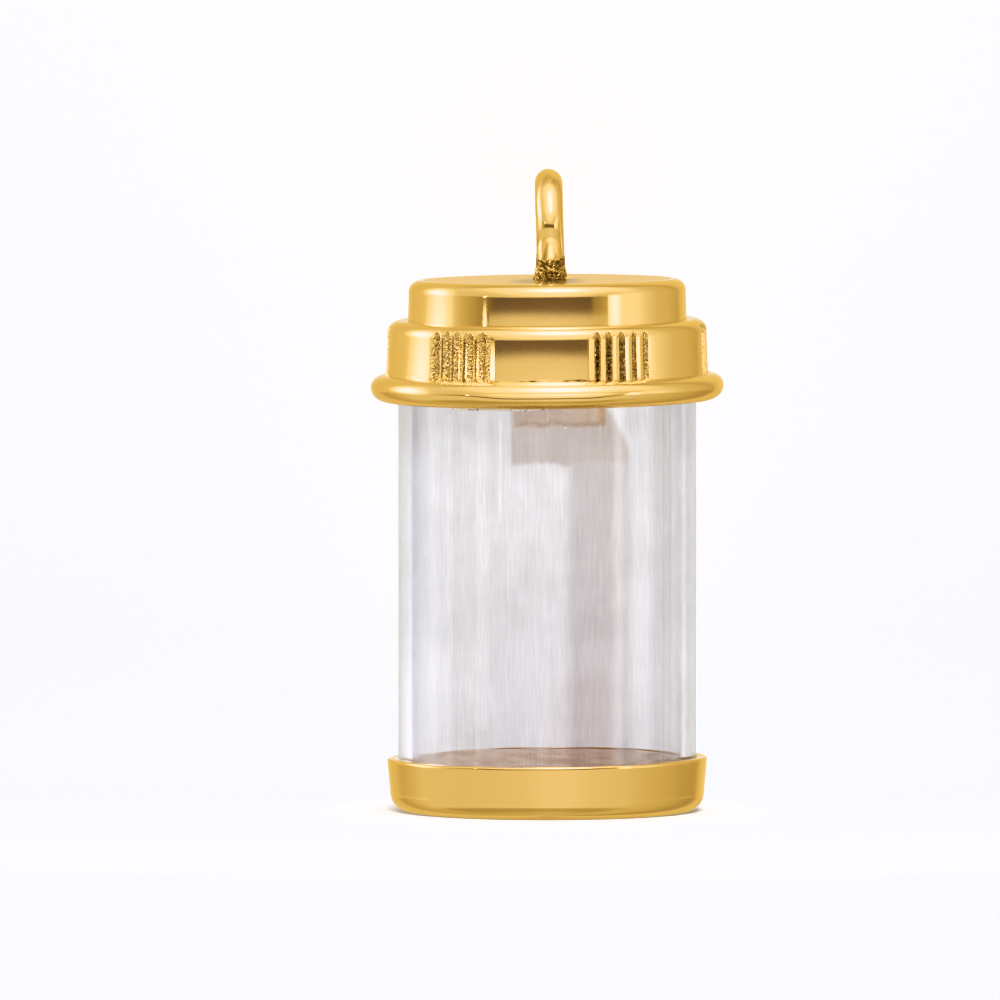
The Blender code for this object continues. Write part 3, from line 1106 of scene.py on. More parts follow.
@dataclass
class CapFlutedTier:
    """The fluted tier of the cap, with the rough seam where it meets the flange.

    Attributes:
        foot: height where it stands on the flange.
        flutes: the flutes' sizes.
        height: height of the tier.
        foot_radius: radius at the foot.
        shoulder: radius of the rounded edge.
        leans: how far the wall leans in at the foot and under the shoulder, in degrees.
        bore: radius of the hollow inside.
        crown_bore: radius of the hollow's upper, narrower part.
        ceiling: thickness of the metal over the wider part.
        tilt: slope of the whole tier.
        waviness: waviness of its wall.
        rough: relief of the raw cast surface in the flutes.
        seam: relief of the seam at its foot.
        seam_height: height of the seam.
        run_out: how suddenly the flutes end in the shoulder; 1 is an even slope.
        shallowest: depth under which a flute keeps the polish of the wall.
        beads: breaks in the painted shade, as shares.
        flute_shade_fade: height over which the painted shade starts under the shoulder.
        dots: dark dots in the flutes, as shares.
        patches: dark patches along the seam's front, as shares.
        patches_end: angle from the front where the patches end, in degrees.
        patches_dark: darkness of the patches.
    """

    foot: float
    flutes: Flutes
    height: float = 1.71 * MM
    foot_radius: float = 5.09 * MM
    shoulder: float = 0.39 * MM
    leans: tuple[float, float] = (3.9, 0.6)
    bore: float = 4.28 * MM
    crown_bore: float = 3.80 * MM
    ceiling: float = 0.58 * MM
    tilt: float = 0.0075
    waviness: Ripple = Ripple(0.004 * MM, (2, 3, 5, 7), 800.0, 21)
    rough: Grain = Grain(0.058 * MM, 0.027 * MM, 1)
    seam: Grain = Grain(0.20 * MM, 0.020 * MM)
    seam_height: float = 0.035 * MM
    run_out: float = 0.7
    shallowest: float = 0.004 * MM
    beads: Grain = Grain(0.045 * MM, 3.0)
    flute_shade_fade: float = 0.16 * MM
    dots: Grain = Grain(0.052 * MM, 5.0, 1)
    patches: Grain = Grain(0.11 * MM, 3.0)
    patches_end: float = 23.0
    patches_dark: float = 0.9

    def build(self, gold: Material) -> bpy.types.Object:
        """Build and dress the tier."""
        top = self.foot + self.height
        edge = self.shoulder
        wall = leaning_wall((self.foot_radius, self.foot), top - edge, self.leans, 60)
        flat = wall[0][0] - edge
        outside = joined(
            line((self.crown_bore, top), (flat, top), 5),
            arc((flat, top - edge), edge, edge, (90, 0), 16),
            wall,
        )
        sunk, ceiling = self.foot - SUNK, top - self.ceiling
        inside = joined(
            line((self.foot_radius, sunk), (self.bore, sunk), 2),
            line((self.bore, sunk), (self.bore, ceiling), 4),
            line((self.bore, ceiling), (self.crown_bore, ceiling), 2),
            line((self.crown_bore, ceiling), (self.crown_bore, top - 0.1 * MM), 2),
        )
        profile = np.concatenate((outside, inside))
        angle = self.flutes.angles()[None, :]
        radius, height, depth, raw, flute_shade = np.broadcast_arrays(
            profile[:, :1], profile[:, 1:], *self.flutes.cut(angle))
        outer = slice(len(outside))
        skin_rows = np.arange(len(profile))[:, None] < len(outside)
        face = np.where(height < top - edge, radius, wall[0][0])
        runs_out = rising(top - height, edge) ** self.run_out
        cut = np.minimum(radius, face - depth * runs_out)
        fluted = skin_rows & (radius > flat - 0.01 * MM)
        carved = np.where(fluted, cut, radius)
        cast = np.where(fluted & (radius - carved > self.shallowest), raw, 0.0)
        carved = carved + np.where(skin_rows, self.waviness.at(angle, height), 0.0)
        points = spun(carved, height, angle)
        near_foot = bell(height[outer] - self.foot, self.seam_height)
        rough = self.rough.at(points[outer]) * cast[outer]
        rough = rough + self.seam.at(points[outer]) * near_foot
        points[outer] += away_from_axis(points[outer]) * rough[..., None]
        beads = np.clip(1.0 + self.beads.at(points), 0, 1)
        low = np.clip((top - edge - height) / self.flute_shade_fade + 0.4, 0, 1)
        dots = np.clip(self.dots.at(points) - 0.8, 0, 1) * np.clip(cast, 0, 1)
        # Painted shade on the flutes' deep and steep facets, broken in beads and fading in under
        # the shoulder, plus dark dots in the raw cast.
        tarnish_and_painted_shade = np.where(cast > 0, flute_shade, 0.0) * beads * low + dots
        at_front = np.clip((math.radians(self.patches_end) - np.abs(angle)) * 20, 0, 1)
        patches = np.clip(self.patches.at(points[outer]), 0, 1)
        tarnish_and_painted_shade[outer] += patches * near_foot * at_front * self.patches_dark
        skin = Grid("cap_fluted_tier", tilted(points, self.tilt), loop=True)
        made = skin.build(Shading.CREASED, cast=cast, tarnish_and_painted_shade=np.clip(tarnish_and_painted_shade, 0, 1))
        return dress(made, gold, Slot.GOLD, "cap")


@dataclass
class CapFlange:
    """The rolled flange at the cap's mouth, with the seat for the glass inside it.

    Attributes:
        levels: the frame's heights and radii.
        height: height of the roll.
        overhang: how far the roll stands out from the fluted tier.
        widest: height of the roll's widest line over its foot, at the sides and at the front.
        crease: height over the foot and depth of the crease along its front.
        crease_width: half width of the crease.
        front: angle where the front's share of the roll ends, and over which it fades,
            in degrees.
        seat: radius of the seat.
        bore: radius of the hollow above the seat.
        ledge: metal between the seat's end and the top of the flange.
        tilt: slope of the whole flange.
        columns: columns round the axis.
        turned_from: how far up the roll the turning lines start: 0 is its middle, 1 its top.
        turned_depth: height of the turning lines.
        turned_pitch: closeness of the turning lines, in radians up to the top.
        waviness: waviness of the roll.
        rise: unevenness of the roll's height.
    """

    levels: Levels
    height: float = 0.85 * MM
    overhang: float = 0.50 * MM
    widest: tuple[float, float] = (0.45 * MM, 0.35 * MM)
    crease: tuple[float, float] = (0.493 * MM, 0.012 * MM)
    crease_width: float = 0.028 * MM
    front: tuple[float, float] = (30.0, 18.0)
    seat: float = 4.78 * MM
    bore: float = 4.28 * MM
    ledge: float = 0.15 * MM
    tilt: float = 0.0075
    columns: int = 560
    turned_from: float = 0.72
    turned_depth: float = 0.0035 * MM
    turned_pitch: float = 95.0
    waviness: Ripple = Ripple(0.006 * MM, (2, 3, 5, 9, 14), 300.0, 31)
    rise: Ripple = Ripple(0.008 * MM, (1, 2, 4, 7), 0.0, 32)

    def build(self, gold: Material) -> bpy.types.Object:
        """Build and dress the flange."""
        foot = self.levels.flange_foot
        top = foot + self.height
        root = self.levels.flange_radius - self.overhang
        seat_end = top - self.ledge
        profile = joined(
            line((self.bore, top), (root, top), 3),
            arc((root, foot + self.height / 2), self.overhang, self.height / 2, (90, -90), 76),
            line((root, foot), (self.seat, foot), 4),
            line((self.seat, foot), (self.seat, seat_end), 4),
            line((self.seat, seat_end), (self.bore, seat_end), 2),
            line((self.bore, seat_end), (self.bore, top - 0.02 * MM), 1),
        )
        angle = once_round(self.columns, -math.pi)
        radius, height = profile[:, :1], profile[:, 1:]
        outer = rising(radius - root, self.overhang)
        end, fade = (math.radians(side) for side in self.front)
        at_front = rising(end - np.abs(angle), fade)
        at_front = at_front * at_front * (3 - 2 * at_front)
        share = (height - foot) / self.height * 2 - 1
        widest = self.widest[0] + (self.widest[1] - self.widest[0]) * at_front
        bent = widest + share * np.where(share > 0, self.height - widest, widest)
        height = foot + np.where(outer > 0, bent, height - foot)
        dent = bell(height - foot - self.crease[0], self.crease_width)
        radius = radius - self.crease[1] * dent * at_front * (outer > 0)
        above = share - self.turned_from
        turned = self.turned_depth * (rising(above, 0.10) * (outer > 0))
        height = height + turned * np.sin(above * self.turned_pitch)
        waved = radius + self.waviness.at(angle, height) * outer
        points = spun(waved - self.waviness.size * outer, height, angle)
        points[..., 2] += self.rise.at(angle, height) * outer
        skin = Grid("cap_flange", tilted(points, self.tilt), loop=True)
        return dress(skin.build(Shading.CREASED), gold, Slot.GOLD, "cap")


@dataclass
class JumpRing:
    """The jump ring: round wire, a little bruised, with a soft edge and a crease on its front.

    Attributes:
        levels: the frame's heights and radii.
        radius: outside radius of the ring.
        wire: thickness of the wire.
        lean: how far the ring leans to the left, in degrees.
        offset: how far its foot stands to the right of the axis.
        edge: height of the soft edge across its front.
        edge_place: place of the soft edge round the ring, in degrees above the front.
        edge_fades: degrees over which the edge fades above and below.
        crease: depth of the crease down its right side.
        crease_width: half width of the crease, in degrees round the wire.
        crease_middle: where it lies round the wire at the ring's front, in degrees.
        crease_drift: how far it moves round the wire for each degree round the ring.
        crease_ends: where it ends round the ring, in degrees above the front.
        crease_fades: degrees over which each of these ends fades.
        worn: how much polishing took off the wire all round.
        bruises: unevenness of the wire.
        steps: steps round the ring.
        sides: steps round the wire.
    """

    levels: Levels
    radius: float = 1.82 * MM
    wire: float = 0.89 * MM
    lean: float = -1.5
    offset: float = 0.08 * MM
    edge: float = 0.11 * MM
    edge_place: float = 10.0
    edge_fades: tuple[float, float] = (14.0, 25.0)
    crease: float = 0.055 * MM
    crease_width: float = 5.0
    crease_middle: float = 48.0
    crease_drift: float = -0.45
    crease_ends: tuple[float, float] = (-62.0, 9.0)
    crease_fades: tuple[float, float] = (10.0, 8.0)
    worn: float = 0.004 * MM
    bruises: Ripple = Ripple(0.007 * MM, (2, 3, 5), 2.0, 41)
    steps: int = 360
    sides: int = 132

    def build(self, gold: Material) -> bpy.types.Object:
        """Build and dress the ring."""
        around = once_round(self.steps).T
        turn = once_round(self.sides)
        half = self.wire / 2
        outward = np.cos(turn)
        thick = half - self.worn + self.bruises.at(around, turn)
        above = signed_degrees(around) - self.edge_place
        edge = bell(above, np.where(above > 0, *self.edge_fades))
        pressed = self.creased(around, turn)
        reach = (self.radius - half + (thick - pressed) * outward
                 + self.edge * edge * np.clip(outward, 0, 1))
        side = (thick - pressed * 0.6) * np.sin(turn)
        points = np.stack((side, -reach * np.cos(around), reach * np.sin(around)), axis=-1)
        ring = Grid("jump_ring", points, loop=True).build(Shading.SMOOTH)
        centre = Vector((self.offset, 0, self.levels.top - self.radius))
        place = Matrix.Translation(centre) @ Matrix.Rotation(math.radians(self.lean), 4, "Y")
        ring.data.transform(place)
        return dress(ring, gold, Slot.GOLD, "cap")

    def creased(self, around: np.ndarray, turn: np.ndarray) -> np.ndarray:
        """Return the depth of the crease at each angle of the ring and the wire."""
        above, across = signed_degrees(around), signed_degrees(turn)
        middle = self.crease_middle + self.crease_drift * above
        inside = (rising(self.crease_ends[1] - above, self.crease_fades[1])
                  * rising(above - self.crease_ends[0], self.crease_fades[0]))
        return self.crease * inside * bell(across - middle, self.crease_width)


@dataclass
class RingSolder:
    """The lumpy solder that climbs the wire from the crown and holds the ring.

    Attributes:
        ring: the ring that it holds.
        crown_top: height of the crown's top.
        height: how far it climbs the wire.
        sunk: how far it reaches into the crown, as a share of its height.
        ragged: how far its upper edge goes up and down, as a share of its height.
        teeth: counts of the two waves that make the upper edge ragged.
        coat: thickness of the solder on the wire.
        flare: how far it spreads onto the crown.
        lumps: its lumps.
        lumps_away: how far the lumps point away from the axis along x, y and z.
        hollow_dark: how fast the hollows between the lumps darken.
        rim: place and half width of the dark line near its upper edge, as shares of its height.
        rim_dark: darkness of that line.
        steps: steps round the foot.
        rows: rows from the top to the crown.
    """

    ring: JumpRing
    crown_top: float
    height: float = 0.71 * MM
    sunk: float = 0.12
    ragged: float = 0.10
    teeth: tuple[int, int] = (5, 11)
    coat: float = 0.015 * MM
    flare: float = 0.12 * MM
    lumps: Grain = Grain(0.095 * MM, 0.052 * MM, 3)
    lumps_away: tuple[float, float, float] = (1.0, 0.6, 0.0)
    hollow_dark: float = 4.5
    rim: tuple[float, float] = (0.80, 0.14)
    rim_dark: float = 0.85
    steps: int = 300
    rows: int = 70

    def build(self, gold: Material) -> bpy.types.Object:
        """Build and dress the solder."""
        around = once_round(self.steps)
        share = np.linspace(1.0, -self.sunk, self.rows)[:, None]
        slow, quick = self.teeth
        ragged = 1 + self.ragged * np.sin(slow * around + 0.7) * np.sin(quick * around)
        z = self.crown_top + self.height * share * np.where(share > 0, ragged, 1.0)
        middle = self.ring.levels.top - self.ring.radius
        thick = self.ring.wire / 2 + self.coat
        reach = self.ring.radius - self.ring.wire / 2 + thick * np.abs(np.cos(around))
        front = np.sqrt(np.clip(reach**2 - (middle - z) ** 2, 0, None))
        spread = self.flare * np.clip(1 - share * 1.6, 0, 1) ** 1.6
        x = (thick + spread) * np.sin(around)
        y = -front * np.sign(np.cos(around)) - spread * np.cos(around)
        points = np.stack((x + self.ring.offset * 1.3, y, z), axis=-1)
        lumps = self.lumps.at(points)
        away = away_from_axis(points, self.lumps_away)
        points = points + away * (lumps * np.clip(1.15 - share, 0.2, 1))[..., None]
        raised = lumps / self.lumps.depth
        hollows = np.clip(-raised * self.hollow_dark + 0.1, 0, 1)
        rim = np.clip(1.6 - np.abs(share - self.rim[0]) / self.rim[1] - raised, 0, 1)
        skin = Grid("ring_solder", points, poles=True)
        made = skin.build(Shading.SMOOTH, tarnish_and_painted_shade=np.maximum(hollows, rim * self.rim_dark))
        return dress(made, gold, Slot.GOLD, "cap")


@dataclass
class BaseCup:
    """The shallow cup under the glass, its rim filed by hand.

    Attributes:
        levels: the frame's heights and radii.
        seat: inner radius.
        floor: thickness of the floor.
        draw_in: how much narrower the wall is at the foot.
        foot_fillet: radius of the rounded foot.
        rim_fillet: radius of the rim's edge.
        rim_tilt: slope of the rim.
        waviness: waviness of the wall.
        filed: unevenness of the rim.
        filed_off: how much lower the file left the rim on the whole.
        columns: columns round the axis.
    """

    levels: Levels
    seat: float = 4.78 * MM
    floor: float = 0.58 * MM
    draw_in: float = 0.10 * MM
    foot_fillet: float = 0.58 * MM
    rim_fillet: float = 0.06 * MM
    rim_tilt: float = 0.0075
    waviness: Ripple = Ripple(0.006 * MM, (2, 3, 5, 9), 900.0, 51)
    filed: Ripple = Ripple(0.035 * MM, (3, 5, 8, 13), 0.0, 53)
    filed_off: float = 0.03 * MM
    columns: int = 600

    def build(self, gold: Material) -> bpy.types.Object:
        """Build and dress the cup."""
        rim_radius, rim = self.levels.cup_radius, self.levels.cup_rim
        foot_radius = rim_radius - self.draw_in
        edge, lip = self.foot_fillet, self.rim_fillet
        profile = joined(
            line((PINHOLE, 0.0), (foot_radius - edge, 0.0), 8),
            arc((foot_radius - edge, edge), edge, edge, (-90, 0), 22),
            line((foot_radius, edge), (rim_radius, rim - lip), 24),
            arc((rim_radius - lip, rim - lip), lip, lip, (0, 90), 5),
            line((rim_radius - lip, rim), (self.seat, rim), 2),
            line((self.seat, rim), (self.seat, self.floor), 6),
            line((self.seat, self.floor), (PINHOLE, self.floor), 10),
        )
        angle = once_round(self.columns)
        radius, height = profile[:, :1], profile[:, 1:]
        outer = rising(radius - self.seat, rim_radius - self.seat)
        waved = (self.waviness.at(angle, height) - self.waviness.size) * outer
        points = spun(radius + waved, height, angle)
        upper = rising(height - self.floor, rim - self.floor) ** 2
        points[..., 2] += (self.filed.at(angle, height) - self.filed_off) * upper
        points[..., 2] += self.rim_tilt * points[..., 0] * upper
        skin = Grid("base_cup_body", points, poles=True)
        return dress(skin.build(Shading.CREASED), gold, Slot.GOLD, "base_cup")


@dataclass
class GlassTube:
    """The clear glass tube, drawn by hand and so a little uneven.

    Attributes:
        levels: the frame's heights and radii.
        wall: thickness of the glass.
        draw_marks: unevenness of its outside.
        bore_marks: unevenness of its inside.
        columns: columns round the axis.
    """

    levels: Levels
    wall: float = 0.44 * MM
    draw_marks: Ripple = Ripple(0.0025 * MM, (2, 3, 5, 11), 40.0, 61)
    bore_marks: Ripple = Ripple(0.004 * MM, (2, 3, 7, 13), 60.0, 62)
    columns: int = 400

    def build(self, glass: Material) -> bpy.types.Object:
        """Build and dress the tube."""
        low, high = self.levels.glass_foot, self.levels.glass_head
        outer = self.levels.glass_radius
        inner = outer - self.wall
        profile = joined(
            line((outer, high), (outer, low), 40),
            line((outer, low), (inner, low), 3),
            line((inner, low), (inner, high), 40),
            line((inner, high), (outer, high), 3),
        )[:-1]
        angle = once_round(self.columns)
        radius, height = profile[:, :1], profile[:, 1:]
        outside = np.where(radius > outer - self.wall / 2, 1.0, 0.0)
        uneven = self.draw_marks.at(angle, height) * outside
        uneven = uneven + self.bore_marks.at(angle, height) * (1 - outside)
        uneven = uneven - self.draw_marks.size * outside
        skin = Grid("glass_tube_body", spun(radius + uneven, height, angle), loop=True)
        return dress(skin.build(Shading.CREASED), glass, Slot.GLASS, "glass_tube")


@dataclass
class CementRings:
    """The cement between glass and metal: a collar under the cap and one in the base cup.

    Attributes:
        levels: the frame's heights and radii.
        seat: radius of the metal's seats.
        gap: space that the cement leaves to the glass and the metal.
        squeezed: how far it was squeezed out under the cap at the front left.
        squeezed_from: angles between which it was squeezed out, in degrees.
        squeezed_fades: angles over which this starts and ends, in radians.
        cap_depth: how far it lies above the flange's foot elsewhere.
        cup_depth: how far the cement in the cup lies under the rim.
        inset: how far its hidden ends stay back from the glass's ends.
        cap_edge: unevenness of the edge under the cap.
        cup_edge: unevenness of the edge in the cup.
        columns: columns round the axis.
    """

    levels: Levels
    seat: float = 4.78 * MM
    gap: float = 0.004 * MM
    squeezed: float = 0.12 * MM
    squeezed_from: tuple[float, float] = (-52.0, 6.0)
    squeezed_fades: tuple[float, float] = (0.25, 0.30)
    cap_depth: float = 0.02 * MM
    cup_depth: float = 0.08 * MM
    inset: float = 0.05 * MM
    cap_edge: Ripple = Ripple(0.030 * MM, (5, 9, 17, 31, 43), 0.0, 71)
    cup_edge: Ripple = Ripple(0.035 * MM, (3, 5, 9, 17), 0.0, 72)
    columns: int = 480

    def collar(self, name: str, low: np.ndarray | float, high: np.ndarray | float) -> Grid:
        """Return a thin collar round the glass.

        Args:
            name: name of the piece.
            low: height of its lower edge, at each angle or everywhere.
            high: height of its upper edge, at each angle or everywhere.

        Returns:
            The collar's skin.
        """
        inner, outer = self.levels.glass_radius + self.gap, self.seat - self.gap
        half = (outer - inner) / 2
        no_rise = 1e-6  # the profile's heights are shares, so its round edge is added below
        profile = joined(
            line((outer, 0.0), (outer, 1.0), 8),
            arc((outer - half, 1.0), half, no_rise, (0, 180), 6),
            line((inner, 1.0), (inner, 0.0), 8),
        )
        edge = np.sqrt(np.clip(half**2 - (profile[:, :1] - outer + half) ** 2, 0, None))
        height = low + (high - low) * profile[:, 1:]
        height = height + edge * np.where(profile[:, 1:] > 0.5, 1.0, -1.0)
        return Grid(name, spun(profile[:, :1], height, self.angle()), loop=True)

    def angle(self) -> np.ndarray:
        """Return the columns' angles round the axis."""
        return once_round(self.columns, -math.pi)

    def build(self, glue: Material, cement: Material) -> list[bpy.types.Object]:
        """Build and dress both collars."""
        angle = self.angle()
        start, end = (math.radians(side) for side in self.squeezed_from)
        out = (rising(angle - start, self.squeezed_fades[0])
               * rising(end - angle, self.squeezed_fades[1]))
        sagging = (self.squeezed + self.cap_edge.at(angle, 0.0)) * out
        head = self.collar("cement_under_cap",
                           self.levels.flange_foot + self.cap_depth - sagging,
                           self.levels.glass_head - self.inset)
        foot = self.collar("cement_in_cup",
                           self.levels.glass_foot + self.inset,
                           self.levels.cup_rim - self.cup_depth + self.cup_edge.at(angle, 0.0))
        return [dress(head.build(Shading.SMOOTH), glue, None),
                dress(foot.build(Shading.SMOOTH), cement, None)]


# Studio


@dataclass(frozen=True)
class Belt:
    """Brightness of the studio's walls at one azimuth.

    Attributes:
        azimuth: direction from the front towards +X, in degrees.
        light: brightness there.
    """

    azimuth: float
    light: float


@dataclass(frozen=True)
class Lamp:
    """A soft window of the studio, brightest in its middle.

    Attributes:
        azimuth: direction of its middle from the front towards +X, in degrees.
        elevation: height of its middle over the horizon, in degrees.
        wide: how fast it fades sideways, in degrees.
        high: how fast it fades upwards and downwards, in degrees.
        light: brightness that its middle adds.
        lean: degrees of azimuth that its axis drifts for each degree of elevation.
        left_edge: azimuth of a sharp left edge, in degrees, or None.
        edge_fade: half the width over which that edge fades, in degrees.
    """

    azimuth: float
    elevation: float
    wide: float
    high: float
    light: float
    lean: float = 0.0
    left_edge: float | None = None
    edge_fade: float = 0.8


WALLS = (
    Belt(-180, 0.95), Belt(-150, 0.87), Belt(-125, 0.92), Belt(-92, 0.95), Belt(-75, 0.90),
    Belt(-60, 0.86), Belt(-45, 0.88), Belt(-30, 0.95), Belt(10, 0.95), Belt(30, 0.90),
    Belt(45, 0.80), Belt(60, 0.86), Belt(75, 1.02), Belt(90, 0.98), Belt(105, 0.81),
    Belt(120, 0.78), Belt(138, 0.66), Belt(146, 0.86), Belt(156, 0.95), Belt(180, 0.95),
)
LOW_WALLS = (
    Belt(-180, 0.70), Belt(-165, 0.87), Belt(-148, 0.86), Belt(-135, 0.60), Belt(-122, 0.74),
    Belt(-105, 0.90), Belt(-60, 0.89), Belt(-20, 0.93), Belt(0, 1.0), Belt(18, 1.0),
    Belt(32, 0.94), Belt(60, 0.88), Belt(75, 0.79), Belt(90, 0.74), Belt(105, 0.68),
    Belt(120, 0.58), Belt(134, 0.50), Belt(141, 0.60), Belt(150, 0.90), Belt(165, 0.82),
    Belt(180, 0.70),
)
FRONT_GAP = (
    Belt(-180, 1.0), Belt(-88, 1.0), Belt(-73, 0.78), Belt(-61, 0.60), Belt(-51, 0.36),
    Belt(-47, 0.23), Belt(-42, 0.175), Belt(36, 0.175), Belt(40, 0.45), Belt(47, 0.60),
    Belt(52, 0.70), Belt(54, 1.0), Belt(180, 1.0),
)
LAMPS = (
    Lamp(-103.0, 14.0, 10.0, 12.0, 14.0, lean=-0.3),
    Lamp(58.0, -1.5, 4.3, 6.5, 5.0, left_edge=52.5),
    Lamp(72.0, 3.0, 12.0, 12.0, 0.35),
    Lamp(5.0, 18.0, 22.0, 8.0, 0.55),
    Lamp(-53.0, 2.4, 0.64, 2.2, 18.0),
)


@dataclass
class Studio:
    """A pale floor, a paper behind the pendant, soft light all round and the camera.

    Attributes:
        aim_height: height that the camera looks at.
        lift: the camera's elevation, in degrees.
        distance: the camera's distance.
        field: width that the picture shows at the pendant.
        shift: the camera's shift, as a share of the picture's width.
        floor_rings: radii of the floor's rings.
        floor_columns: columns round the floor.
        floor_white: colour of the floor.
        paper_gap: distance from the axis back to the paper.
        paper_size: half width and height of the paper.
        paper_curve: radius of the curve at the paper's foot.
        paper_lift: height of the paper's front edge over the floor.
        paper_white: colour of the paper.
        gap_top: elevation of the upper edge of the dim gap in front, in degrees.
        gap_foot: elevation of its lower edge, in degrees.
        gap_left: azimuths over which its upper edge rises at the left, in degrees.
        gap_rise: how far it rises there, in degrees.
        gap_fades: degrees over which the upper edge fades in front and farther left, and the
            lower edge fades.
        low_walls: elevations between which the low walls take over, in degrees.
        lamps_foot: elevations between which the lamps fade out below, in degrees.
        dusk_behind: share of light that the walls lose high up behind the pendant.
        behind: angles from the front between which that loss begins, in degrees.
        high_up: elevations between which it begins, in degrees.
        dusk_ahead: share of light that they lose low down in front of it.
        ahead_left: how far left of the front the middle of that loss is, in degrees.
        ahead: angles from there between which it begins, in degrees.
        low_down: elevations between which it begins, in degrees.
        lowest: elevations between which a part of it ends again, in degrees.
        lowest_left: share of it that stays under them.
        window: azimuth and elevation of the window overhead, in degrees.
        glows: widths in degrees and brightness of the window and of the glow round it.
        warmth: how fast green and blue fall as the light dims, as powers.
        least_blue: least blue of dim light.
        far_white: light where the camera looks past everything.
        greenest: least share of green beside the red: slope and start over the red.
        bluest: least share of blue beside the red, in the same way.
        knee: brightness from which the colours whiten.
        whitening: how fast they whiten.
        late_blue: how the blue whitens later: slope and start.
    """

    aim_height: float = 9.826 * MM
    lift: float = 3.4
    distance: float = 1.2
    field: float = 31.5956 * MM
    shift: float = -0.0472
    floor_rings: tuple[float, ...] = (1.0 * MM, 10.0 * MM, 20.0 * MM, 32.0 * MM)
    floor_columns: int = 96
    floor_white: Colour = (0.72, 0.73, 0.765)
    paper_gap: float = 11.0 * MM
    paper_size: tuple[float, float] = (34.0 * MM, 45.0 * MM)
    paper_curve: float = 5.0 * MM
    paper_lift: float = 0.02 * MM
    paper_white: Colour = (0.76, 0.77, 0.815)
    gap_top: float = 0.4
    gap_foot: float = -9.0
    gap_left: tuple[float, float] = (-48.5, -51.0)
    gap_rise: float = 3.0
    gap_fades: tuple[float, float, float] = (0.15, 1.95, 1.5)
    low_walls: tuple[float, float] = (-5.0, -10.0)
    lamps_foot: tuple[float, float] = (-9.5, -6.0)
    dusk_behind: float = 0.27
    behind: tuple[float, float] = (100.0, 125.0)
    high_up: tuple[float, float] = (40.0, 60.0)
    dusk_ahead: float = 0.40
    ahead_left: float = 22.0
    ahead: tuple[float, float] = (110.0, 70.0)
    low_down: tuple[float, float] = (-34.0, -47.0)
    lowest: tuple[float, float] = (-76.0, -58.0)
    lowest_left: float = 0.6
    window: tuple[float, float] = (12.0, 62.0)
    glows: tuple[tuple[float, float], ...] = ((11.5, 20.0), (30.0, 2.0))
    warmth: tuple[float, float] = (1.22, 2.7)
    least_blue: float = 0.10
    far_white: Colour = (1.46, 1.47, 1.53)
    greenest: tuple[float, float] = (0.14, 0.47)
    bluest: tuple[float, float] = (0.09, 0.05)
    knee: float = 0.9
    whitening: float = 0.55
    late_blue: tuple[float, float] = (0.42, 0.58)

    def build_camera(self) -> bpy.types.Object:
        """Make the camera at the photograph's viewing angle."""
        data = bpy.data.cameras.new("camera")
        data.sensor_width = 36.0
        data.lens = data.sensor_width * self.distance / self.field
        data.shift_x = self.shift
        data.clip_start = 0.01
        camera = linked("camera", data)
        lift = math.radians(self.lift)
        camera.rotation_euler = (math.pi / 2 - lift, 0, 0)
        camera.location = (0, -self.distance * math.cos(lift),
                           self.aim_height + self.distance * math.sin(lift))
        bpy.context.scene.camera = camera
        return camera

    @staticmethod
    def backdrop(name: str, vertices: list, faces: list, finish: PaperFinish
                 ) -> bpy.types.Object:
        """Make a piece of the studio, which the pendant doesn't mirror."""
        mesh = bpy.data.meshes.new(name)
        mesh.from_pydata(vertices, [], faces)
        made = linked(name, mesh)
        made.data.materials.append(finish.build())
        made.visible_glossy = False
        return made

    def build_floor(self) -> bpy.types.Object:
        """Make the floor, a plain pale disc."""
        rings = np.array(self.floor_rings)[:, None]
        skin = Grid("floor", spun(rings, np.zeros((1, 1)), once_round(self.floor_columns)),
                    poles=True)
        outer_pole = rings.size * self.floor_columns + 1
        faces = [face for face in skin.faces() if outer_pole not in face]
        vertices = np.concatenate((skin.points.reshape(-1, 3), np.zeros((2, 3))))
        return self.backdrop("floor", vertices.tolist(), faces,
                             PaperFinish("pale_floor", self.floor_white))

    def build_paper(self) -> bpy.types.Object:
        """Make the white paper that stands behind the pendant and curves down to the floor."""
        curve, foot = self.paper_curve, self.paper_lift
        back = self.paper_gap
        wide, high = self.paper_size
        points = [(back - curve, foot)]
        points += [(back - curve + curve * math.sin(a), foot + curve - curve * math.cos(a))
                   for a in np.radians(np.linspace(5, 90, 18))]
        points.append((back, high))
        vertices = [(x, y, z) for y, z in points for x in (-wide, wide)]
        faces = [(2 * i, 2 * i + 1, 2 * i + 3, 2 * i + 2) for i in range(len(points) - 1)]
        finish = PaperFinish("white_paper", self.paper_white, clear_from_behind=True)
        paper = self.backdrop("paper", vertices, faces, finish)
        paper.data.shade_smooth()
        return paper

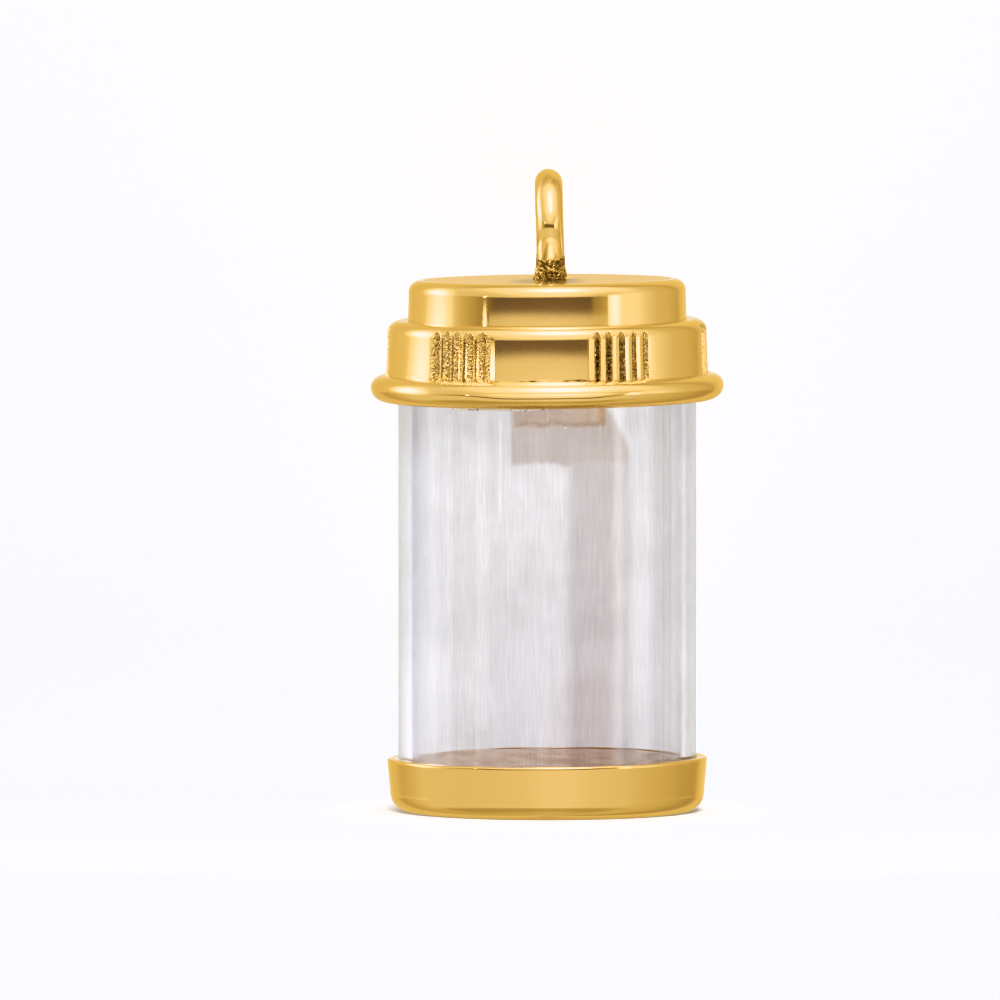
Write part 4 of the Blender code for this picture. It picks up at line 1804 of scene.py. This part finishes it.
    def build_light(self) -> bpy.types.World:
        """Make the soft light: pale walls with a dim gap in front, lamps and a window overhead."""
        world = bpy.data.worlds.new("studio_light")
        bpy.context.scene.world = world
        world.use_nodes = True
        nodes = Nodes(world.node_tree)
        direction = nodes.add("ShaderNodeTexCoord").outputs["Generated"]
        x, y, z = nodes.split(direction)
        azimuth = nodes.times(nodes.math("ARCTAN2", x, nodes.times(y, -1.0)), DEGREES)
        height = nodes.times(nodes.math("ARCSINE", z), DEGREES)
        light = nodes.times(self.walls(nodes, azimuth, height),
                            self.front_gap(nodes, azimuth, height))
        lamps: object = 0.0
        for lamp in LAMPS:
            lamps = nodes.math("ADD", lamps, self.lamp(nodes, azimuth, height, lamp))
        lamps = nodes.times(lamps, nodes.ramp(height, *self.lamps_foot))
        light = nodes.math("ADD", light, lamps)
        light = nodes.math("ADD", light, self.overhead(nodes, direction))
        background = nodes.feed(nodes.add("ShaderNodeBackground"),
                                Color=self.seen(nodes, self.warmed(nodes, light)))
        nodes.show(background.outputs["Background"], "World")
        return world

    def seen(self, nodes: Nodes, colour: Socket) -> Socket:
        """Return the light, or plain white where the camera looks past or through the glass.

        The renderer counts one bounce more for the world than the ray has made, so a ray that
        only went through glass has 1 left here.
        """
        path = nodes.add("ShaderNodeLightPath").outputs
        bounced = nodes.math("SUBTRACT", path["Ray Depth"], path["Transmission Depth"])
        through = nodes.times(nodes.math("LESS_THAN", bounced, 1.5),
                              path["Is Transmission Ray"])
        return nodes.mix(nodes.math("MAXIMUM", through, path["Is Camera Ray"]), colour,
                         (*self.far_white, 1))

    def walls(self, nodes: Nodes, azimuth: Socket, height: Socket) -> Socket:
        """Return the brightness of the walls, high up and low down."""
        light = nodes.times(self.belt(nodes, azimuth, WALLS),
                            self.back_dusk(nodes, azimuth, height))
        below = nodes.times(self.belt(nodes, azimuth, LOW_WALLS),
                            self.front_dusk(nodes, azimuth, height))
        low = nodes.ramp(height, *self.low_walls)
        return nodes.math("ADD", nodes.times(below, low), nodes.times(light, nodes.rest(low)))

    def front_gap(self, nodes: Nodes, azimuth: Socket, height: Socket) -> Socket:
        """Return the share of light that the dim gap in front leaves."""
        crisp, blurred, foot = self.gap_fades
        left = nodes.ramp(azimuth, *self.gap_left)
        top = nodes.math("MULTIPLY_ADD", left, self.gap_rise, self.gap_top)
        soft = nodes.math("MULTIPLY_ADD", left, blurred - crisp, crisp)
        inside = nodes.times(
            nodes.ramp(height, nodes.math("ADD", top, soft), nodes.math("SUBTRACT", top, soft)),
            nodes.ramp(height, self.gap_foot - foot, self.gap_foot + foot))
        gap = nodes.rest(self.belt(nodes, azimuth, FRONT_GAP))
        return nodes.rest(nodes.times(inside, gap))

    @staticmethod
    def belt(nodes: Nodes, azimuth: Socket, stops: tuple[Belt, ...]) -> Socket:
        """Return the brightness of a belt of stops at the azimuth."""
        node = nodes.add("ShaderNodeValToRGB")
        nodes.feed(node, Fac=nodes.math("MULTIPLY_ADD", azimuth, 1 / 360, 0.5))
        elements = node.color_ramp.elements
        while len(elements) < len(stops):
            elements.new(0.5)
        for element, stop in zip(elements, stops):
            element.position = stop.azimuth / 360 + 0.5
            element.color = (stop.light, stop.light, stop.light, 1)
        return node.outputs["Color"]

    def back_dusk(self, nodes: Nodes, azimuth: Socket, height: Socket) -> Socket:
        """Return the share of light left high up behind the pendant."""
        behind = nodes.ramp(nodes.math("ABSOLUTE", azimuth), *self.behind)
        high = nodes.ramp(height, *self.high_up)
        return nodes.rest(nodes.times(behind, high, self.dusk_behind))

    def front_dusk(self, nodes: Nodes, azimuth: Socket, height: Socket) -> Socket:
        """Return the share of light left low down in front of the pendant."""
        aside = nodes.math("ABSOLUTE", nodes.math("ADD", azimuth, self.ahead_left))
        ahead = nodes.ramp(aside, *self.ahead)
        deep = nodes.times(nodes.ramp(height, *self.low_down),
                           nodes.ramp(height, *self.lowest, (self.lowest_left, 1.0)))
        return nodes.rest(nodes.times(ahead, deep, self.dusk_ahead))

    @staticmethod
    def lamp(nodes: Nodes, azimuth: Socket, height: Socket, lamp: Lamp) -> Socket:
        """Return the light that a lamp adds at the azimuth and height."""
        above = nodes.math("SUBTRACT", height, lamp.elevation)
        middle = nodes.math("MULTIPLY_ADD", height, lamp.lean, lamp.azimuth)
        beside = nodes.math("SUBTRACT", azimuth, middle)
        spread = nodes.math("ADD", nodes.squared(beside, lamp.wide),
                            nodes.squared(above, lamp.high))
        light = nodes.times(nodes.fading(spread), lamp.light)
        if lamp.left_edge is None:
            return light
        edge = nodes.ramp(azimuth, lamp.left_edge - lamp.edge_fade,
                          lamp.left_edge + lamp.edge_fade)
        return nodes.times(light, edge)

    def overhead(self, nodes: Nodes, direction: Socket) -> Socket:
        """Return the light of the big window overhead in front, with the glow round it."""
        azimuth, elevation = (math.radians(angle) for angle in self.window)
        towards = nodes.add("ShaderNodeVectorMath", operation="DOT_PRODUCT")
        nodes.wire(direction, towards.inputs[0])
        towards.inputs[1].default_value = (math.sin(azimuth) * math.cos(elevation),
                                           -math.cos(azimuth) * math.cos(elevation),
                                           math.sin(elevation))
        away = nodes.math("ARCCOSINE", towards.outputs["Value"])
        total: object = 0.0
        for wide, light in self.glows:
            glow = nodes.fading(nodes.squared(away, math.radians(wide)))
            total = nodes.math("ADD", total, nodes.times(glow, light))
        return total

    def warmed(self, nodes: Nodes, light: Socket) -> Socket:
        """Return the light as a colour: the dimmer it is, the warmer."""
        dim = nodes.math("MINIMUM", light, 1.0)
        over = nodes.math("MAXIMUM", light, 1.0)
        green, blue = (nodes.math("POWER", dim, power) for power in self.warmth)
        blue = nodes.math("MAXIMUM", blue, self.least_blue)
        channels = nodes.add("ShaderNodeCombineXYZ")
        for socket, channel in zip(channels.inputs, (dim, green, blue)):
            nodes.wire(nodes.times(channel, over), socket)
        return channels.outputs["Vector"]

    def develop(self) -> None:
        """Set how the light is turned into the picture: highlights roll off towards white."""
        scene = bpy.context.scene
        scene.view_settings.view_transform = "Standard"
        scene.cycles.use_denoising = True
        scene.cycles.max_bounces = 16
        scene.cycles.transmission_bounces = 12
        scene.cycles.transparent_max_bounces = 12
        scene.cycles.sample_clamp_indirect = 8.0
        scene.use_nodes = True
        nodes = Nodes(scene.node_tree)
        layers = nodes.add("CompositorNodeRLayers")
        parts = nodes.feed(nodes.add("CompositorNodeSeparateColor"),
                           Image=layers.outputs["Image"])
        red, green, blue = parts.outputs[:3]
        low = nodes.math("MINIMUM", red, 1.0)
        least = [nodes.times(red, nodes.math("MULTIPLY_ADD", low, *shares))
                 for shares in (self.greenest, self.bluest)]
        green = nodes.math("MAXIMUM", green, least[0])
        blue = nodes.math("MAXIMUM", blue, least[1])
        peak = nodes.math("MAXIMUM", nodes.math("MAXIMUM", red, green), blue)
        fit = nodes.math("MAXIMUM", peak, 1.0)
        excess = nodes.math("MAXIMUM", nodes.math("SUBTRACT", peak, self.knee), 0.0)
        excess = nodes.times(excess, self.whitening)
        share = nodes.math("DIVIDE", excess, nodes.math("ADD", excess, 1.0))
        late = nodes.math("MULTIPLY_ADD", nodes.times(share, share), *self.late_blue)
        whitened = (share, share, nodes.times(share, late))
        developed = nodes.add("CompositorNodeCombineColor")
        for socket, channel, white in zip(developed.inputs, (red, green, blue), whitened):
            kept = nodes.math("DIVIDE", channel, fit)
            rise = nodes.times(nodes.rest(kept), white)
            nodes.wire(nodes.math("ADD", kept, rise), socket)
        nodes.feed(nodes.add("CompositorNodeComposite"), Image=developed.outputs["Image"])


def main() -> None:
    """Build every piece round the frame and report each through the log."""
    logging.basicConfig(level=logging.INFO, format="%(name)s: %(message)s")
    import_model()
    levels = Levels.from_frame()
    studio = Studio()
    studio.build_camera()
    studio.build_floor()
    studio.build_paper()
    studio.build_light()
    studio.develop()
    effects = Effects()
    polished = GoldFinish("polished_gold").build(effects)
    soldered = GoldFinish("soldered_gold", grain_everywhere=0.4).build(effects)
    glass = GlassFinish().build()
    cement = CementFinish().build(effects)
    # The glue under the cap carries dark lines of painted shadow.
    glue = CementFinish("white_glue", colour=(0.93, 0.92, 0.91), dirt=(0.74, 0.69, 0.64),
                        shadow_lines=1.0).build(effects)

    flange = CapFlange(levels)
    fluted_foot = levels.flange_foot + flange.height
    fluted = CapFlutedTier(fluted_foot, Flutes())
    crown = CapCrown(fluted_foot + fluted.height)
    ring = JumpRing(levels)
    pieces = [
        flange.build(polished),
        fluted.build(polished),
        crown.build(polished),
        ring.build(polished),
        RingSolder(ring, crown.foot + crown.height - crown.fall * crown.radius).build(soldered),
        GlassTube(levels).build(glass),
        BaseCup(levels).build(polished),
        *CementRings(levels).build(glue, cement),
    ]
    for piece in pieces:
        LOG.info("%s: %d faces", piece.name, len(piece.data.polygons))


if __name__ == "__main__":
    main()
